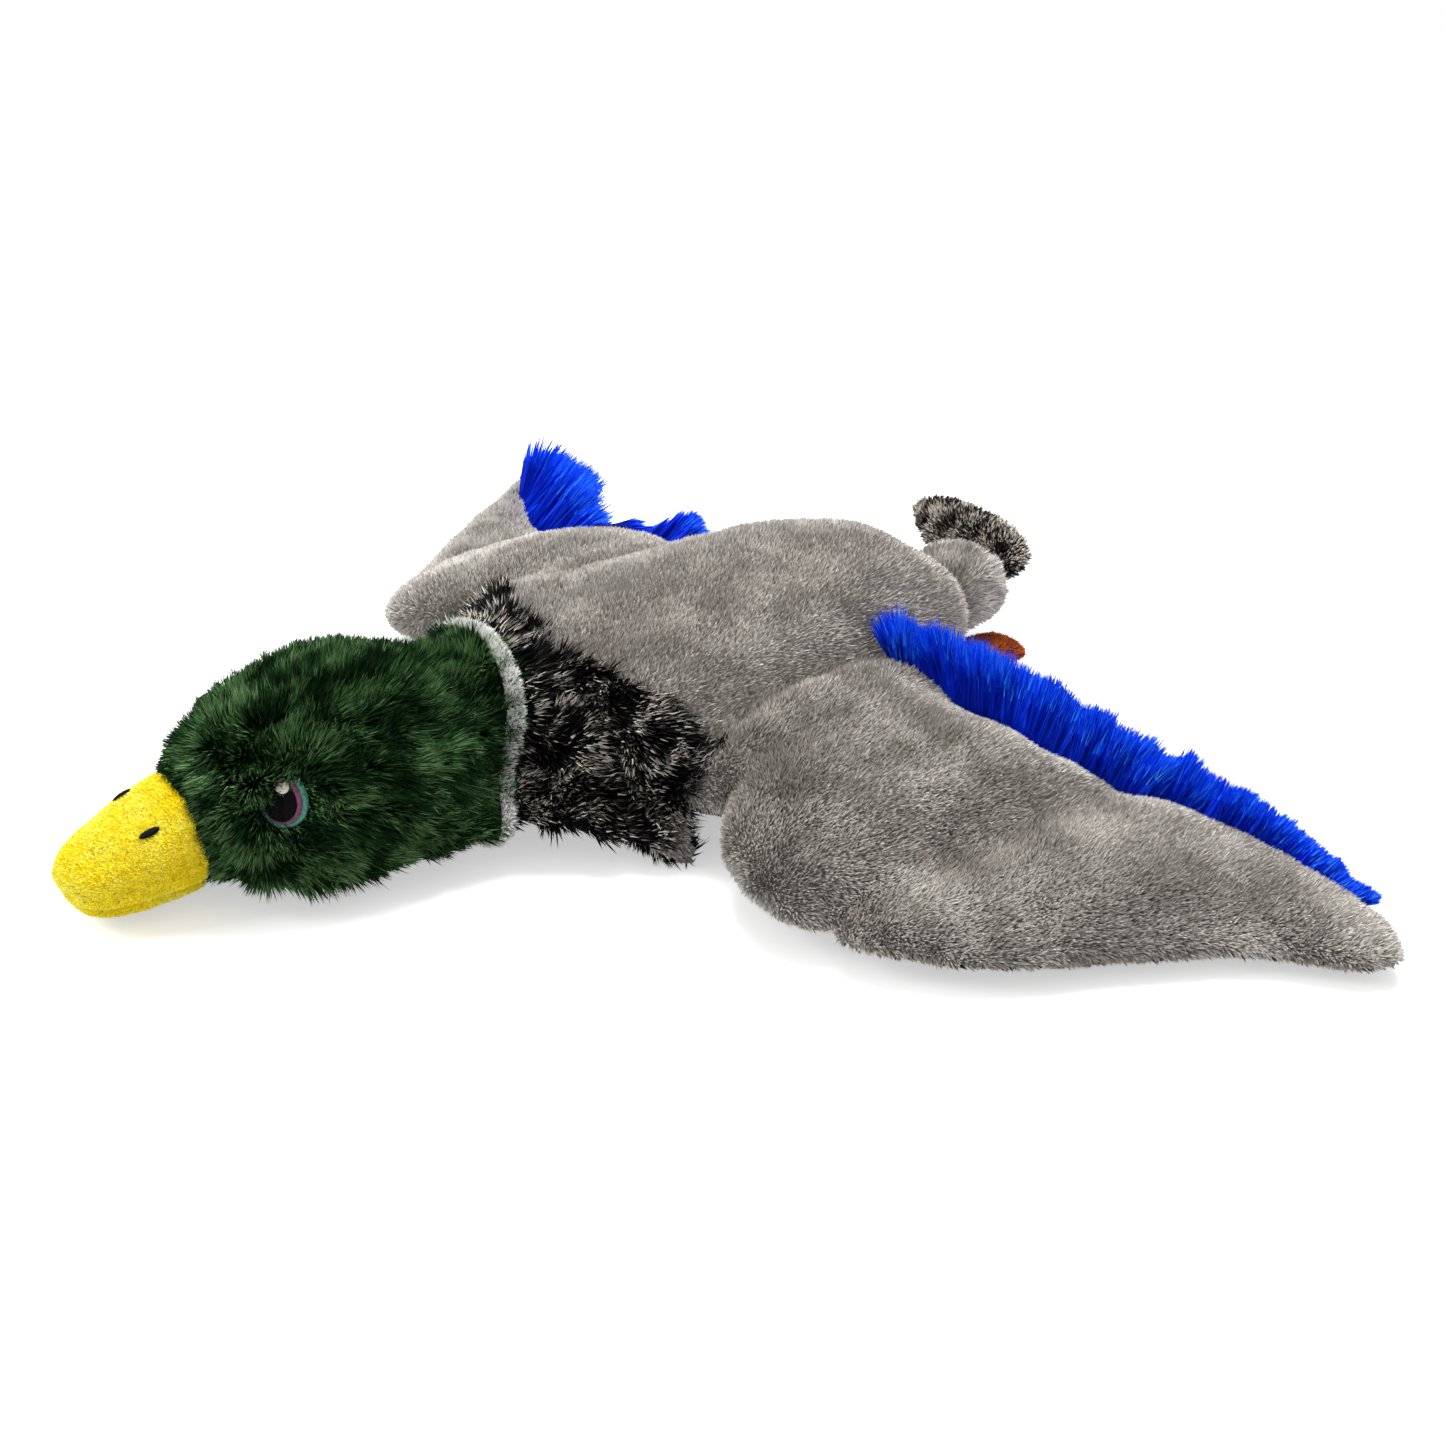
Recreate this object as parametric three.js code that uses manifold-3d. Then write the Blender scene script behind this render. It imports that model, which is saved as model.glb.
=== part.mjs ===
// A plush duck toy that lies on its belly with both wings spread.
// Millimetres, +Z up, bill towards -Y. The duck's own left wing points along +X.
// The origin is on the flat belly, below the middle of the body.
import * as THREE from "three";
import { mergeVertices } from "three/addons/utils/BufferGeometryUtils.js";
import Module from "manifold-3d";

const wasm = await Module();
wasm.setup();

// Cloth and clearances
const BODY_WALL = 4;
const WING_WALL = 3;
const LAYER_GAP = 0.5;
const SEAM_GAP = 0.4;
const JOINT_GAP = 1.4;
const FILLING_RELIEF = 3;
const FILM_THICKNESS = 0.8;
const FILM_GAP = 1.2;

// Mesh density
const ARC_STEPS = 8;
const JOINT_FACETS = 20;
const SQUEAKER_FACETS = 16;
const EYE_FACETS = 14;
const JOINT_OVERLAP = 0.4;
const BEYOND = 900;

// Neck: the chest turns left and right about an upright axis
const NECK_Y = -152;
const NECK_RADIUS = 52;

// Head: it nods about a level axis across the neck
const NOD_Y = -190;
const NOD_Z = 36;
const NOD_RADIUS = 31.5;
const NOD_HALF_WIDTH = 48;

// Wing root hinge and wing fold, both along Y
const ROOT_X = 105.5;
const ROOT_Z = 30;
const ROOT_RADIUS = 24;
const FOLD_X = 203;
const FOLD_Z = 14;
const FOLD_RADIUS = 12;

// Tail and feet hinge about level axes across the rump
const TAIL_Y = 102;
const TAIL_Z = 32;
const TAIL_RADIUS = 17;
const TAIL_HALF_WIDTH = 28;
const FOOT_X = 25;
const FOOT_Y = 99;
const FOOT_HEIGHT = 10;

// Neck ring
const RING_FRONT = -179;
const RING_BACK = -173;

// Squeakers: a cup, a pressed dome and the reed that sounds
const SQUEAKER_RADIUS = 22;
const SQUEAKER_WALL = 1.6;
const SQUEAKER_SKIN = 0.6;
const BODY_SQUEAKER = { y: -10, z: 18, scale: 1 };
const HEAD_SQUEAKER = { y: -246, z: 20, scale: 0.72 };

// Embroidered eyes and nostrils
const EYE_RADIUS = 10;
const EYE_Y = -272;
const EYE_X = 54;
const EYE_Z = 48;
const NOSTRIL_LENGTH = 7;
const NOSTRIL_Y = -319;
const NOSTRIL_X = 19.5;
const NOSTRIL_Z = 41.4;

// Sections across a soft part: [place along it, middle, half width, low, high]
const TORSO = [
  [-140, 0, 84, 3, 67],
  [-126, 0, 91, 1, 69],
  [-110, 0, 93, -1, 71],
  [-98, 0, 90, -2, 72],
  [-82, 0, 83, -2, 73],
  [-60, 0, 80, -2, 75],
  [-20, 0, 78, -2, 78],
  [20, 0, 73, -2, 80],
  [45, 0, 66, -2, 79],
  [65, 0, 58, -1, 75],
  [80, 0, 48, 2, 68],
  [92, 0, 38, 7, 59],
];
const CHEST = [
  [NECK_Y, 0, NECK_RADIUS, 3, 69],
  [-163, 0, 52, 3, 70],
  [RING_BACK + LAYER_GAP, 0, 52, 3.5, 70],
];
const RING = [
  [RING_BACK, 0, 52.5, 3, 70.5],
  [RING_FRONT, 0, 52, 3, 70.5],
];
const HEAD = [
  [NOD_Y, 0, NOD_HALF_WIDTH, NOD_Z - NOD_RADIUS, NOD_Z + NOD_RADIUS],
  [-204, 0, 54, 2.5, 73],
  [-220, 0, 57, 1.5, 77],
  [-236, 0, 58, 1, 78],
  [-253, 0, 57, 1, 77],
  [-270, 0, 53, 1.5, 72],
  [-286, 0, 45, 3.5, 65],
  [-297, 0, 38, 5.5, 57],
  [-305, 0, 30, 8, 50],
];
const BILL = [
  [-305.5, 0, 28.5, 7, 48],
  [-318, 0, 29.5, 5, 43],
  [-331, 0, 28.5, 4, 37],
  [-342, 0, 25.5, 4.5, 31.5],
  [-350, 0, 20, 7, 27],
  [-355, 0, 11, 12, 22],
];
const LEFT_INNER = [
  [ROOT_X, -41, 59, ROOT_Z - ROOT_RADIUS, ROOT_Z + ROOT_RADIUS],
  [122, -44, 68, 3, 51],
  [140, -47, 75, 2, 46],
  [160, -47, 80, 2, 39],
  [176, -43, 83, 2, 33],
  [FOLD_X - FOLD_RADIUS - JOINT_GAP, -37.5, 84.5, 2, 27.5],
];
const LEFT_OUTER = [
  [FOLD_X, -29.5, 86.5, FOLD_Z - FOLD_RADIUS, FOLD_Z + FOLD_RADIUS],
  [220, -21, 85, 2, 24],
  [238, -10.5, 80.5, 2, 22],
  [257, 3.5, 70, 2, 20],
  [273, 21, 52, 2.5, 18],
  [288, 36.5, 35, 3, 16],
  [303, 44.5, 24, 3.5, 14],
  [314, 46.5, 14.5, 5, 12],
  [320, 48, 7, 6.5, 10.5],
];
const TAIL = [
  [TAIL_Y, 0, TAIL_HALF_WIDTH, TAIL_Z - TAIL_RADIUS, TAIL_Z + TAIL_RADIUS],
  [113, 0, 28, 17, 56],
  [126, 0, 27, 20, 58],
  [135, 0, 22, 25, 54],
];
const TAIL_FAN = [
  [135.6, -12, 26, 30, 56],
  [141, -23, 40, 31, 61],
  [147, -27, 46, 33, 63],
  [153, -27, 40, 36, 62],
  [157, -26, 26, 41, 58],
];
const FOOT = [
  [FOOT_Y, 0, 9, 2.5, 2.5 + FOOT_HEIGHT],
  [108, 0.5, 11, 2.5, 12.5],
  [118, 2, 14, 2, 12],
  [127, 3.5, 15, 2.5, 11],
  [132, 4.5, 11, 4, 9.5],
];
// The right wing lies swept forward, crowned at its root and bunched towards its tip
const RIGHT_INNER = [
  [ROOT_X, -41, 59, ROOT_Z - ROOT_RADIUS, ROOT_Z + ROOT_RADIUS],
  [122, -54, 74, 3, 56],
  [142, -64.5, 81.5, 2, 54],
  [162, -67.5, 77.5, 2, 46],
  [177, -67, 71, 2, 37],
  [FOLD_X - FOLD_RADIUS - JOINT_GAP, -65, 64, 2, 29],
];
const RIGHT_OUTER = [
  [FOLD_X, -61, 57, FOLD_Z - FOLD_RADIUS, FOLD_Z + FOLD_RADIUS],
  [220, -53, 45, 3, 27],
  [240, -40.5, 31.5, 6, 30],
  [258, -24.5, 23, 10, 33],
  [275, -5, 17, 14, 35],
  [290, 10, 12, 18, 36],
  [301, 18, 6, 22, 33],
];
// Fringe on the trailing edge: [place along the wing, start, height, reach, rise]
const LEFT_FRINGE_INNER = [
  [ROOT_X - 1, 19.5, 31, 26, 30],
  [122, 25.5, 28, 26, 28],
  [140, 29.5, 25, 25, 25],
  [160, 34.5, 21.5, 24, 21],
  [176, 41.5, 18.5, 22, 18],
  [FOLD_X - FOLD_RADIUS - 2, 48.5, 15.5, 20, 15],
];
const LEFT_FRINGE_OUTER = [
  [FOLD_X - 4, 57.5, 15, 18, 13],
  [220, 65.5, 14, 16, 11],
  [238, 71.5, 13, 13, 9],
  [257, 75, 12, 11, 7],
  [273, 74.5, 11.2, 9, 5],
  [288, 73, 10.5, 7, 3],
];
const RIGHT_FRINGE_INNER = [
  [ROOT_X - 1, 19.5, 31, 34, 16],
  [122, 21.5, 30, 34, 14],
  [142, 18.5, 28.5, 34, 12],
  [162, 11.5, 25, 34, 10],
  [177, 5.5, 20.5, 34, 8],
  [FOLD_X - FOLD_RADIUS - 2, 0.5, 17, 34, 6],
];
const RIGHT_FRINGE_OUTER = [
  [FOLD_X - 4, -2.5, 14.5, 36, 6],
  [220, -6.5, 15.5, 38, 6],
  [240, -7.5, 18, 38, 6],
  [258, 0, 21.5, 35, 6],
  [275, 13.5, 24.5, 30, 6],
  [290, 23.5, 27, 24, 5],
];
const FRINGE_HALF_THICKNESS = 3;
const RIGHT_FOOT_SHIFT = 22;

const BODY_SHAPE = 2.5;
const WING_SHAPE = 2.2;
const FAN_SHAPE = 2.3;

// One point on a section's outline, pulled in by the inset
function outlinePoint(station, angle, shape, inset) {
  const [, middle, half, low, high] = station;
  const centre = (low + high) / 2;
  const width = Math.max(half - inset, half * 0.04);
  const height = Math.max((high - low) / 2 - inset, (high - low) * 0.02);
  const cosine = Math.cos(angle);
  const sine = Math.sin(angle);
  const power = 2 / shape;
  return [
    middle + width * Math.sign(cosine) * Math.abs(cosine) ** power,
    centre + height * Math.sign(sine) * Math.abs(sine) ** power,
  ];
}

function placed(axis, at, [across, up]) {
  return axis === "x" ? [at, across, up] : [across, at, up];
}

// A closed geometry whose faces point outwards whatever order they were made in
function closedGeometry(points, faces) {
  let volume = 0;
  for (const [a, b, c] of faces) {
    const [ax, ay, az] = points[a];
    const [bx, by, bz] = points[b];
    const [cx, cy, cz] = points[c];
    volume += ax * (by * cz - bz * cy) - ay * (bx * cz - bz * cx) + az * (bx * cy - by * cx);
  }
  const outward = volume < 0 ? faces.map(([a, b, c]) => [a, c, b]) : faces;
  const geometry = new THREE.BufferGeometry();
  geometry.setAttribute("position", new THREE.Float32BufferAttribute(points.flat(), 3));
  geometry.setIndex(outward.flat());
  geometry.computeVertexNormals();
  return geometry;
}

// Side faces between equal rings of points
function sideFaces(ringCount, ringLength) {
  const faces = [];
  for (let ring = 0; ring + 1 < ringCount; ring += 1) {
    for (let step = 0; step < ringLength; step += 1) {
      const a = ring * ringLength + step;
      const b = ring * ringLength + ((step + 1) % ringLength);
      faces.push([a, b, b + ringLength], [a, b + ringLength, a + ringLength]);
    }
  }
  return faces;
}

// A solid skinned through whole sections
function solidLoft(stations, { axis = "y", shape = BODY_SHAPE, inset = 0, steps = 2 * ARC_STEPS }) {
  const points = [];
  for (const station of stations) {
    for (let step = 0; step < steps; step += 1) {
      const angle = (2 * Math.PI * step) / steps;
      points.push(placed(axis, station[0], outlinePoint(station, angle, shape, inset)));
    }
  }
  const faces = sideFaces(stations.length, steps);
  for (const end of [0, stations.length - 1]) {
    const [at, middle, , low, high] = stations[end];
    const hub = points.length;
    points.push(placed(axis, at, [middle, (low + high) / 2]));
    for (let step = 0; step < steps; step += 1) {
      const a = end * steps + step;
      const b = end * steps + ((step + 1) % steps);
      faces.push(end === 0 ? [hub, b, a] : [hub, a, b]);
    }
  }
  return closedGeometry(points, faces);
}

// Half of a cloth shell: the upper side runs over the top, the lower one below
function panelLoft(stations, { axis = "y", shape = BODY_SHAPE, side = "upper", inset = 0, wall }) {
  const start = side === "upper" ? 0 : Math.PI;
  const lift = side === "upper" ? SEAM_GAP / 2 : -SEAM_GAP / 2;
  const arc = ARC_STEPS + 1;
  const points = [];
  for (const station of stations) {
    const section = [];
    for (let step = 0; step < arc; step += 1) {
      const angle = start + (Math.PI * step) / ARC_STEPS;
      section.push(outlinePoint(station, angle, shape, inset));
    }
    for (let step = arc - 1; step >= 0; step -= 1) {
      const angle = start + (Math.PI * step) / ARC_STEPS;
      section.push(outlinePoint(station, angle, shape, inset + wall));
    }
    for (const [across, up] of section) {
      points.push(placed(axis, station[0], [across, up + lift]));
    }
  }
  const faces = sideFaces(stations.length, 2 * arc);
  for (const end of [0, stations.length - 1]) {
    for (let step = 0; step + 1 < arc; step += 1) {
      const a = end * 2 * arc + step;
      const b = a + 1;
      const d = end * 2 * arc + 2 * arc - 1 - step;
      const c = d - 1;
      const cap = [[a, b, c], [a, c, d]];
      faces.push(...(end === 0 ? cap.map(([p, q, r]) => [p, r, q]) : cap));
    }
  }
  return closedGeometry(points, faces);
}

// The turned body that rounds a part's end about its hinge, so it moves without catching.
// The hinge runs across the part, or upright when asked.
function hingeBall(station, { axis = "y", shape = BODY_SHAPE, inset = 0, upright = false }) {
  const [at, middle, , low, high] = station;
  const centre = (low + high) / 2;
  const profile = [];
  for (let step = 0; step <= ARC_STEPS; step += 1) {
    const share = (Math.PI * step) / ARC_STEPS;
    const angle = upright ? share - Math.PI / 2 : Math.PI - share;
    const [across, up] = outlinePoint(station, angle, shape, inset);
    const [reach, along] = upright ? [across - middle, up - centre] : [up - centre, across - middle];
    const isPole = step === 0 || step === ARC_STEPS;
    profile.push(new THREE.Vector2(isPole ? 0 : reach, along));
  }
  const ball = new THREE.LatheGeometry(profile, JOINT_FACETS);
  if (upright) ball.rotateX(Math.PI / 2);
  else if (axis === "y") ball.rotateZ(-Math.PI / 2);
  return axis === "y" ? ball.translate(middle, at, centre) : ball.translate(at, middle, centre);
}

// Everything on one side of a plane square to the axis
function halfSpace(axis, at, side) {
  const middle = at + (side * BEYOND) / 2;
  const place = { x: [middle, 0, 0], y: [0, middle, 0], z: [0, 0, middle] }[axis];
  return box([BEYOND, BEYOND, BEYOND], place);
}

// A loft joined to the round end at its first section
function withRoundEnd(loft, ball, stations, axis) {
  const direction = Math.sign(stations[0][0] - stations.at(-1)[0]);
  const plane = halfSpace(axis, stations[0][0] - direction * JOINT_OVERLAP, direction);
  return fromManifold(loft.add(ball.intersect(toManifold(plane))));
}

function jointedPanel(stations, options) {
  const { axis = "y", side = "upper", inset = 0, wall } = options;
  const sign = side === "upper" ? 1 : -1;
  const [, , , low, high] = stations[0];
  const seam = halfSpace("z", (low + high) / 2 + (sign * SEAM_GAP) / 2, sign);
  const outer = toManifold(hingeBall(stations[0], options));
  const inner = toManifold(hingeBall(stations[0], { ...options, inset: inset + wall }));
  const shell = outer.subtract(inner).intersect(toManifold(seam));
  return withRoundEnd(toManifold(panelLoft(stations, options)), shell, stations, axis);
}

function jointedSolid(stations, options) {
  const { axis = "y" } = options;
  const ball = toManifold(hingeBall(stations[0], options));
  return withRoundEnd(toManifold(solidLoft(stations, options)), ball, stations, axis);
}

function toManifold(geometry) {
  const bare = geometry.clone();
  bare.deleteAttribute("normal");
  bare.deleteAttribute("uv");
  const merged = mergeVertices(bare, 1e-4);
  const index = merged.index.array;
  const kept = [];
  for (let face = 0; face < index.length; face += 3) {
    const [a, b, c] = index.slice(face, face + 3);
    if (a !== b && b !== c && c !== a) kept.push(a, b, c);
  }
  const mesh = new wasm.Mesh({
    numProp: 3,
    vertProperties: new Float32Array(merged.attributes.position.array),
    triVerts: new Uint32Array(kept),
  });
  return new wasm.Manifold(mesh);
}

function fromManifold(solid) {
  const mesh = solid.getMesh();
  const geometry = new THREE.BufferGeometry();
  geometry.setAttribute("position", new THREE.BufferAttribute(mesh.vertProperties, 3));
  geometry.setIndex(new THREE.BufferAttribute(mesh.triVerts, 1));
  geometry.computeVertexNormals();
  return geometry;
}

function cutAway(geometry, ...tools) {
  const solid = tools.reduce((left, tool) => left.subtract(toManifold(tool)), toManifold(geometry));
  return fromManifold(solid);
}

function mirrored(geometry) {
  const copy = geometry.clone();
  copy.scale(-1, 1, 1);
  const index = [...copy.index.array];
  for (let face = 0; face < index.length; face += 3) {
    [index[face + 1], index[face + 2]] = [index[face + 2], index[face + 1]];
  }
  copy.setIndex(index);
  return copy;
}

function cylinder(radius, length, axis, [x, y, z]) {
  const geometry = new THREE.CylinderGeometry(radius, radius, length, JOINT_FACETS);
  if (axis === "x") geometry.rotateZ(Math.PI / 2);
  if (axis === "z") geometry.rotateX(Math.PI / 2);
  return geometry.translate(x, y, z);
}

function box(size, [x, y, z]) {
  return new THREE.BoxGeometry(...size).translate(x, y, z);
}

function cloth(colour) {
  return new THREE.MeshStandardMaterial({ color: colour, roughness: 0.95, metalness: 0 });
}

function plastic(colour) {
  return new THREE.MeshStandardMaterial({ color: colour, roughness: 0.4, metalness: 0 });
}

function node(name, geometry, material) {
  const mesh = new THREE.Mesh(geometry, material);
  mesh.name = name;
  return mesh;
}

const GREY = 0x8e8a84;
const GREEN = 0x1c3a1d;
const BLACK = 0x141516;
const MOTTLED = 0x45413e;
const YELLOW = 0xf8de2e;
const ORANGE = 0xb4602c;
const BLUE = 0x0a34b4;
const FILLING = 0xf0efeb;

const BELOW_GROUND = box([600, 800, 20], [0, 0, -10]);
const LAYER = BODY_WALL + LAYER_GAP;

// A round squeaker standing on its own origin
function squeaker(prefix, { y, z, scale }) {
  const outer = SQUEAKER_RADIUS;
  const inner = outer - SQUEAKER_WALL;
  const skirt = outer + SQUEAKER_SKIN;
  const shell = skirt + SQUEAKER_WALL;
  const profile = (pairs) => pairs.map(([r, h]) => new THREE.Vector2(r * scale, h * scale));
  const cup = [
    [0, 0], [outer, 0], [outer, 12], [inner, 12], [inner, SQUEAKER_WALL], [0, SQUEAKER_WALL],
  ];
  const reedBase = SQUEAKER_WALL + SQUEAKER_SKIN;
  const reed = [[2, reedBase], [5, reedBase], [5, 9], [3.2, 10], [2, 10], [2, reedBase]];
  const dome = [
    [skirt, 7], [shell, 7], [shell, 19], [21, 23.5], [14, 27], [0, 28.4],
    [0, 26.8], [13.4, 25.4], [20, 22], [skirt, 18.4], [skirt, 7],
  ];
  const group = new THREE.Group();
  group.position.set(0, y, z);
  const white = plastic(0xe8e8e4);
  const turned = (pairs) => {
    return new THREE.LatheGeometry(profile(pairs), SQUEAKER_FACETS).rotateX(Math.PI / 2);
  };
  group.add(node(`${prefix}_squeaker_cup`, turned(cup), white));
  group.add(node(`${prefix}_squeaker_reed`, turned(reed), plastic(0xd03a2c)));
  group.add(node(`${prefix}_squeaker_dome`, turned(dome), white.clone()));
  return group;
}

// The room left in the filling for a squeaker and the travel of its dome
function squeakerPocket({ y, z, scale }) {
  const radius = (SQUEAKER_RADIUS + SQUEAKER_WALL + SQUEAKER_SKIN) * scale + 1.2;
  const height = 28.4 * scale + 2.4;
  return cylinder(radius, height, "z", [0, y, z + height / 2 - 1.2]);
}

function splitFilling(prefix, geometry, pocket, seam) {
  const belowSeam = halfSpace("z", seam + SEAM_GAP / 2, -1);
  const aboveSeam = halfSpace("z", seam - SEAM_GAP / 2, 1);
  return [
    node(`${prefix}_filling_upper`, cutAway(geometry, belowSeam, pocket), cloth(FILLING)),
    node(`${prefix}_filling_lower`, cutAway(geometry, aboveSeam, pocket), cloth(FILLING)),
  ];
}

function buildTorso() {
  const neckRoom = hingeBall(CHEST[0], { inset: -JOINT_GAP, upright: true });
  const tailRoom = hingeBall(TAIL[0], { inset: -JOINT_GAP });
  const back = panelLoft(TORSO, { wall: BODY_WALL });
  const belly = panelLoft(TORSO, { wall: BODY_WALL, side: "lower" });
  const filling = solidLoft(TORSO, { inset: LAYER });
  const group = new THREE.Group();
  group.add(node("back_panel", cutAway(back, neckRoom, tailRoom), cloth(GREY)));
  group.add(node("belly_panel", cutAway(belly, neckRoom, tailRoom, BELOW_GROUND), cloth(MOTTLED)));
  const neckGive = hingeBall(CHEST[0], { inset: -JOINT_GAP - FILLING_RELIEF, upright: true });
  const tailGive = hingeBall(TAIL[0], { inset: -JOINT_GAP - FILLING_RELIEF });
  const stuffed = cutAway(filling, neckGive, tailGive);
  group.add(...splitFilling("body", stuffed, squeakerPocket(BODY_SQUEAKER), TAIL_Z));
  group.add(squeaker("body", BODY_SQUEAKER));
  return group;
}

function buildChest() {
  const headRoom = hingeBall(HEAD[0], { inset: -JOINT_GAP });
  const upper = jointedPanel(CHEST, { wall: BODY_WALL, upright: true });
  const lower = jointedPanel(CHEST, { wall: BODY_WALL, upright: true, side: "lower" });
  const filling = jointedSolid([...CHEST, RING[1]], { inset: LAYER, upright: true });
  const [back, front] = RING;
  const through = [[back[0] + 1, ...back.slice(1)], [front[0] - 1, ...front.slice(1)]];
  const ring = cutAway(solidLoft(RING, {}), solidLoft(through, { inset: BODY_WALL }));
  const group = new THREE.Group();
  group.add(node("chest_upper_panel", cutAway(upper, headRoom), cloth(BLACK)));
  group.add(node("chest_lower_panel", cutAway(lower, headRoom), cloth(BLACK)));
  group.add(node("chest_filling", cutAway(filling, headRoom), cloth(FILLING)));
  group.add(node("neck_ring", cutAway(ring, headRoom), cloth(0xe6e6e2)));
  return group;
}

function eye(side, name) {
  const turned = (pairs) => {
    const profile = pairs.map(([r, h]) => new THREE.Vector2(r, h));
    return new THREE.LatheGeometry(profile, EYE_FACETS).rotateX(Math.PI / 2);
  };
  const band = (outer, inner, high) => turned([
    [inner, 0], [outer, 0], [outer, high * 0.6], [(outer + inner) / 2, high], [inner, high * 0.6], [inner, 0],
  ]);
  const disc = (radius, low, high) => turned([[0, low], [radius, low], [radius, high * 0.8], [0, high]]);
  const group = new THREE.Group();
  group.add(node(`eye_${name}_ring`, band(EYE_RADIUS, 7.9, 1.4), cloth(0x3d8f80)));
  group.add(node(`eye_${name}_iris`, band(7.6, 5.8, 1.6), cloth(0x7a3f63)));
  group.add(node(`eye_${name}_pupil`, disc(5.5, 0, 1.6), cloth(BLACK)));
  const glint = node(`eye_${name}_glint`, disc(1.8, 0, 0.9), cloth(0xefe9d8));
  glint.position.set(-side * 1.2, 2, 2);
  group.add(glint);
  group.position.set(side * EYE_X, EYE_Y, EYE_Z);
  group.rotation.set(Math.PI / 2, 0, 0);
  group.rotation.order = "ZYX";
  group.rotation.z = side * THREE.MathUtils.degToRad(90 - 14);
  return group;
}

function buildHead() {
  const crown = jointedPanel(HEAD, { wall: BODY_WALL });
  const chin = jointedPanel(HEAD, { wall: BODY_WALL, side: "lower" });
  const filling = jointedSolid(HEAD, { inset: LAYER });
  const group = new THREE.Group();
  group.add(node("head_crown_panel", crown, cloth(GREEN)));
  group.add(node("head_chin_panel", chin, cloth(GREEN)));
  group.add(...splitFilling("head", filling, squeakerPocket(HEAD_SQUEAKER), NOD_Z));
  group.add(squeaker("head", HEAD_SQUEAKER));
  group.add(node("bill_upper_panel", panelLoft(BILL, { wall: WING_WALL, shape: WING_SHAPE }), cloth(YELLOW)));
  const lower = panelLoft(BILL, { wall: WING_WALL, shape: WING_SHAPE, side: "lower" });
  group.add(node("bill_lower_panel", lower, cloth(YELLOW)));
  const billInset = WING_WALL + LAYER_GAP;
  const billCore = solidLoft(BILL.slice(0, 5), { shape: WING_SHAPE, inset: billInset });
  group.add(node("bill_filling", billCore, cloth(FILLING)));
  for (const [side, name] of [[1, "left"], [-1, "right"]]) {
    group.add(eye(side, name));
    const nostril = node(`nostril_${name}`, new THREE.CapsuleGeometry(1.3, NOSTRIL_LENGTH, 3, 8), cloth(BLACK));
    nostril.position.set(side * NOSTRIL_X, NOSTRIL_Y, NOSTRIL_Z);
    nostril.rotation.set(THREE.MathUtils.degToRad(26), 0, side * THREE.MathUtils.degToRad(8));
    group.add(nostril);
  }
  return group;
}

// The fringe as one slanted slab with a rounded section
function fringeSlab(fringe) {
  const steps = 10;
  const points = [];
  for (const [at, start, height, reach, rise] of fringe) {
    const length = Math.hypot(reach, rise);
    for (let step = 0; step < steps; step += 1) {
      const angle = (2 * Math.PI * step) / steps;
      const along = (length / 2) * (1 + Math.cos(angle));
      const across = FRINGE_HALF_THICKNESS * Math.sin(angle);
      points.push([
        at,
        start + (along * reach - across * rise) / length,
        height + (along * rise + across * reach) / length,
      ]);
    }
  }
  const faces = sideFaces(fringe.length, steps);
  for (const end of [0, fringe.length - 1]) {
    for (let step = 1; step + 1 < steps; step += 1) {
      const fan = [end * steps, end * steps + step, end * steps + step + 1];
      faces.push(end === 0 ? [fan[0], fan[2], fan[1]] : fan);
    }
  }
  return closedGeometry(points, faces);
}

// One half of the wing: cloth above and below, crackling film, light filling and fringe
function wingParts(prefix, sections, fringe, finish) {
  const wing = { axis: "x", shape: WING_SHAPE };
  const layer = WING_WALL + FILM_GAP;
  const core = layer + FILM_THICKNESS + FILM_GAP;
  const upper = jointedPanel(sections, { ...wing, wall: WING_WALL });
  const lower = jointedPanel(sections, { ...wing, wall: WING_WALL, side: "lower" });
  const isRoomy = ([, , half, low, high]) => high - low > 12 && half > 12;
  const filmSections = sections.filter(isRoomy);
  const film = panelLoft(filmSections, { ...wing, side: "lower", inset: layer, wall: FILM_THICKNESS });
  const filling = solidLoft(filmSections, { ...wing, inset: core });
  const strands = fringeSlab(fringe);
  return [
    [`${prefix}_upper_panel`, upper, GREY],
    [`${prefix}_lower_panel`, lower, MOTTLED],
    [`${prefix}_film`, film, 0xc9c7bd],
    [`${prefix}_filling`, filling, FILLING],
    [`${prefix}_fringe`, strands, BLUE],
  ].map(([name, geometry, colour]) => node(name, finish(geometry), cloth(colour)));
}

function buildLeftWing() {
  const asMade = (geometry) => geometry;
  const group = new THREE.Group();
  group.add(...wingParts("left_wing", LEFT_INNER, LEFT_FRINGE_INNER, asMade));
  group.add(...wingParts("left_wingtip", LEFT_OUTER, LEFT_FRINGE_OUTER, asMade));
  return group;
}

function buildRightWing() {
  const group = new THREE.Group();
  group.add(...wingParts("right_wing", RIGHT_INNER, RIGHT_FRINGE_INNER, mirrored));
  group.add(...wingParts("right_wingtip", RIGHT_OUTER, RIGHT_FRINGE_OUTER, mirrored));
  return group;
}

function buildTail() {
  const filling = jointedSolid(TAIL.slice(0, 3), { inset: LAYER });
  const group = new THREE.Group();
  group.add(node("tail_upper_panel", jointedPanel(TAIL, { wall: BODY_WALL }), cloth(GREY)));
  const lower = jointedPanel(TAIL, { wall: BODY_WALL, side: "lower" });
  group.add(node("tail_lower_panel", lower, cloth(MOTTLED)));
  group.add(node("tail_filling", filling, cloth(FILLING)));
  group.add(node("tail_fan", solidLoft(TAIL_FAN, { shape: FAN_SHAPE }), cloth(MOTTLED)));
  return group;
}

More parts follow.
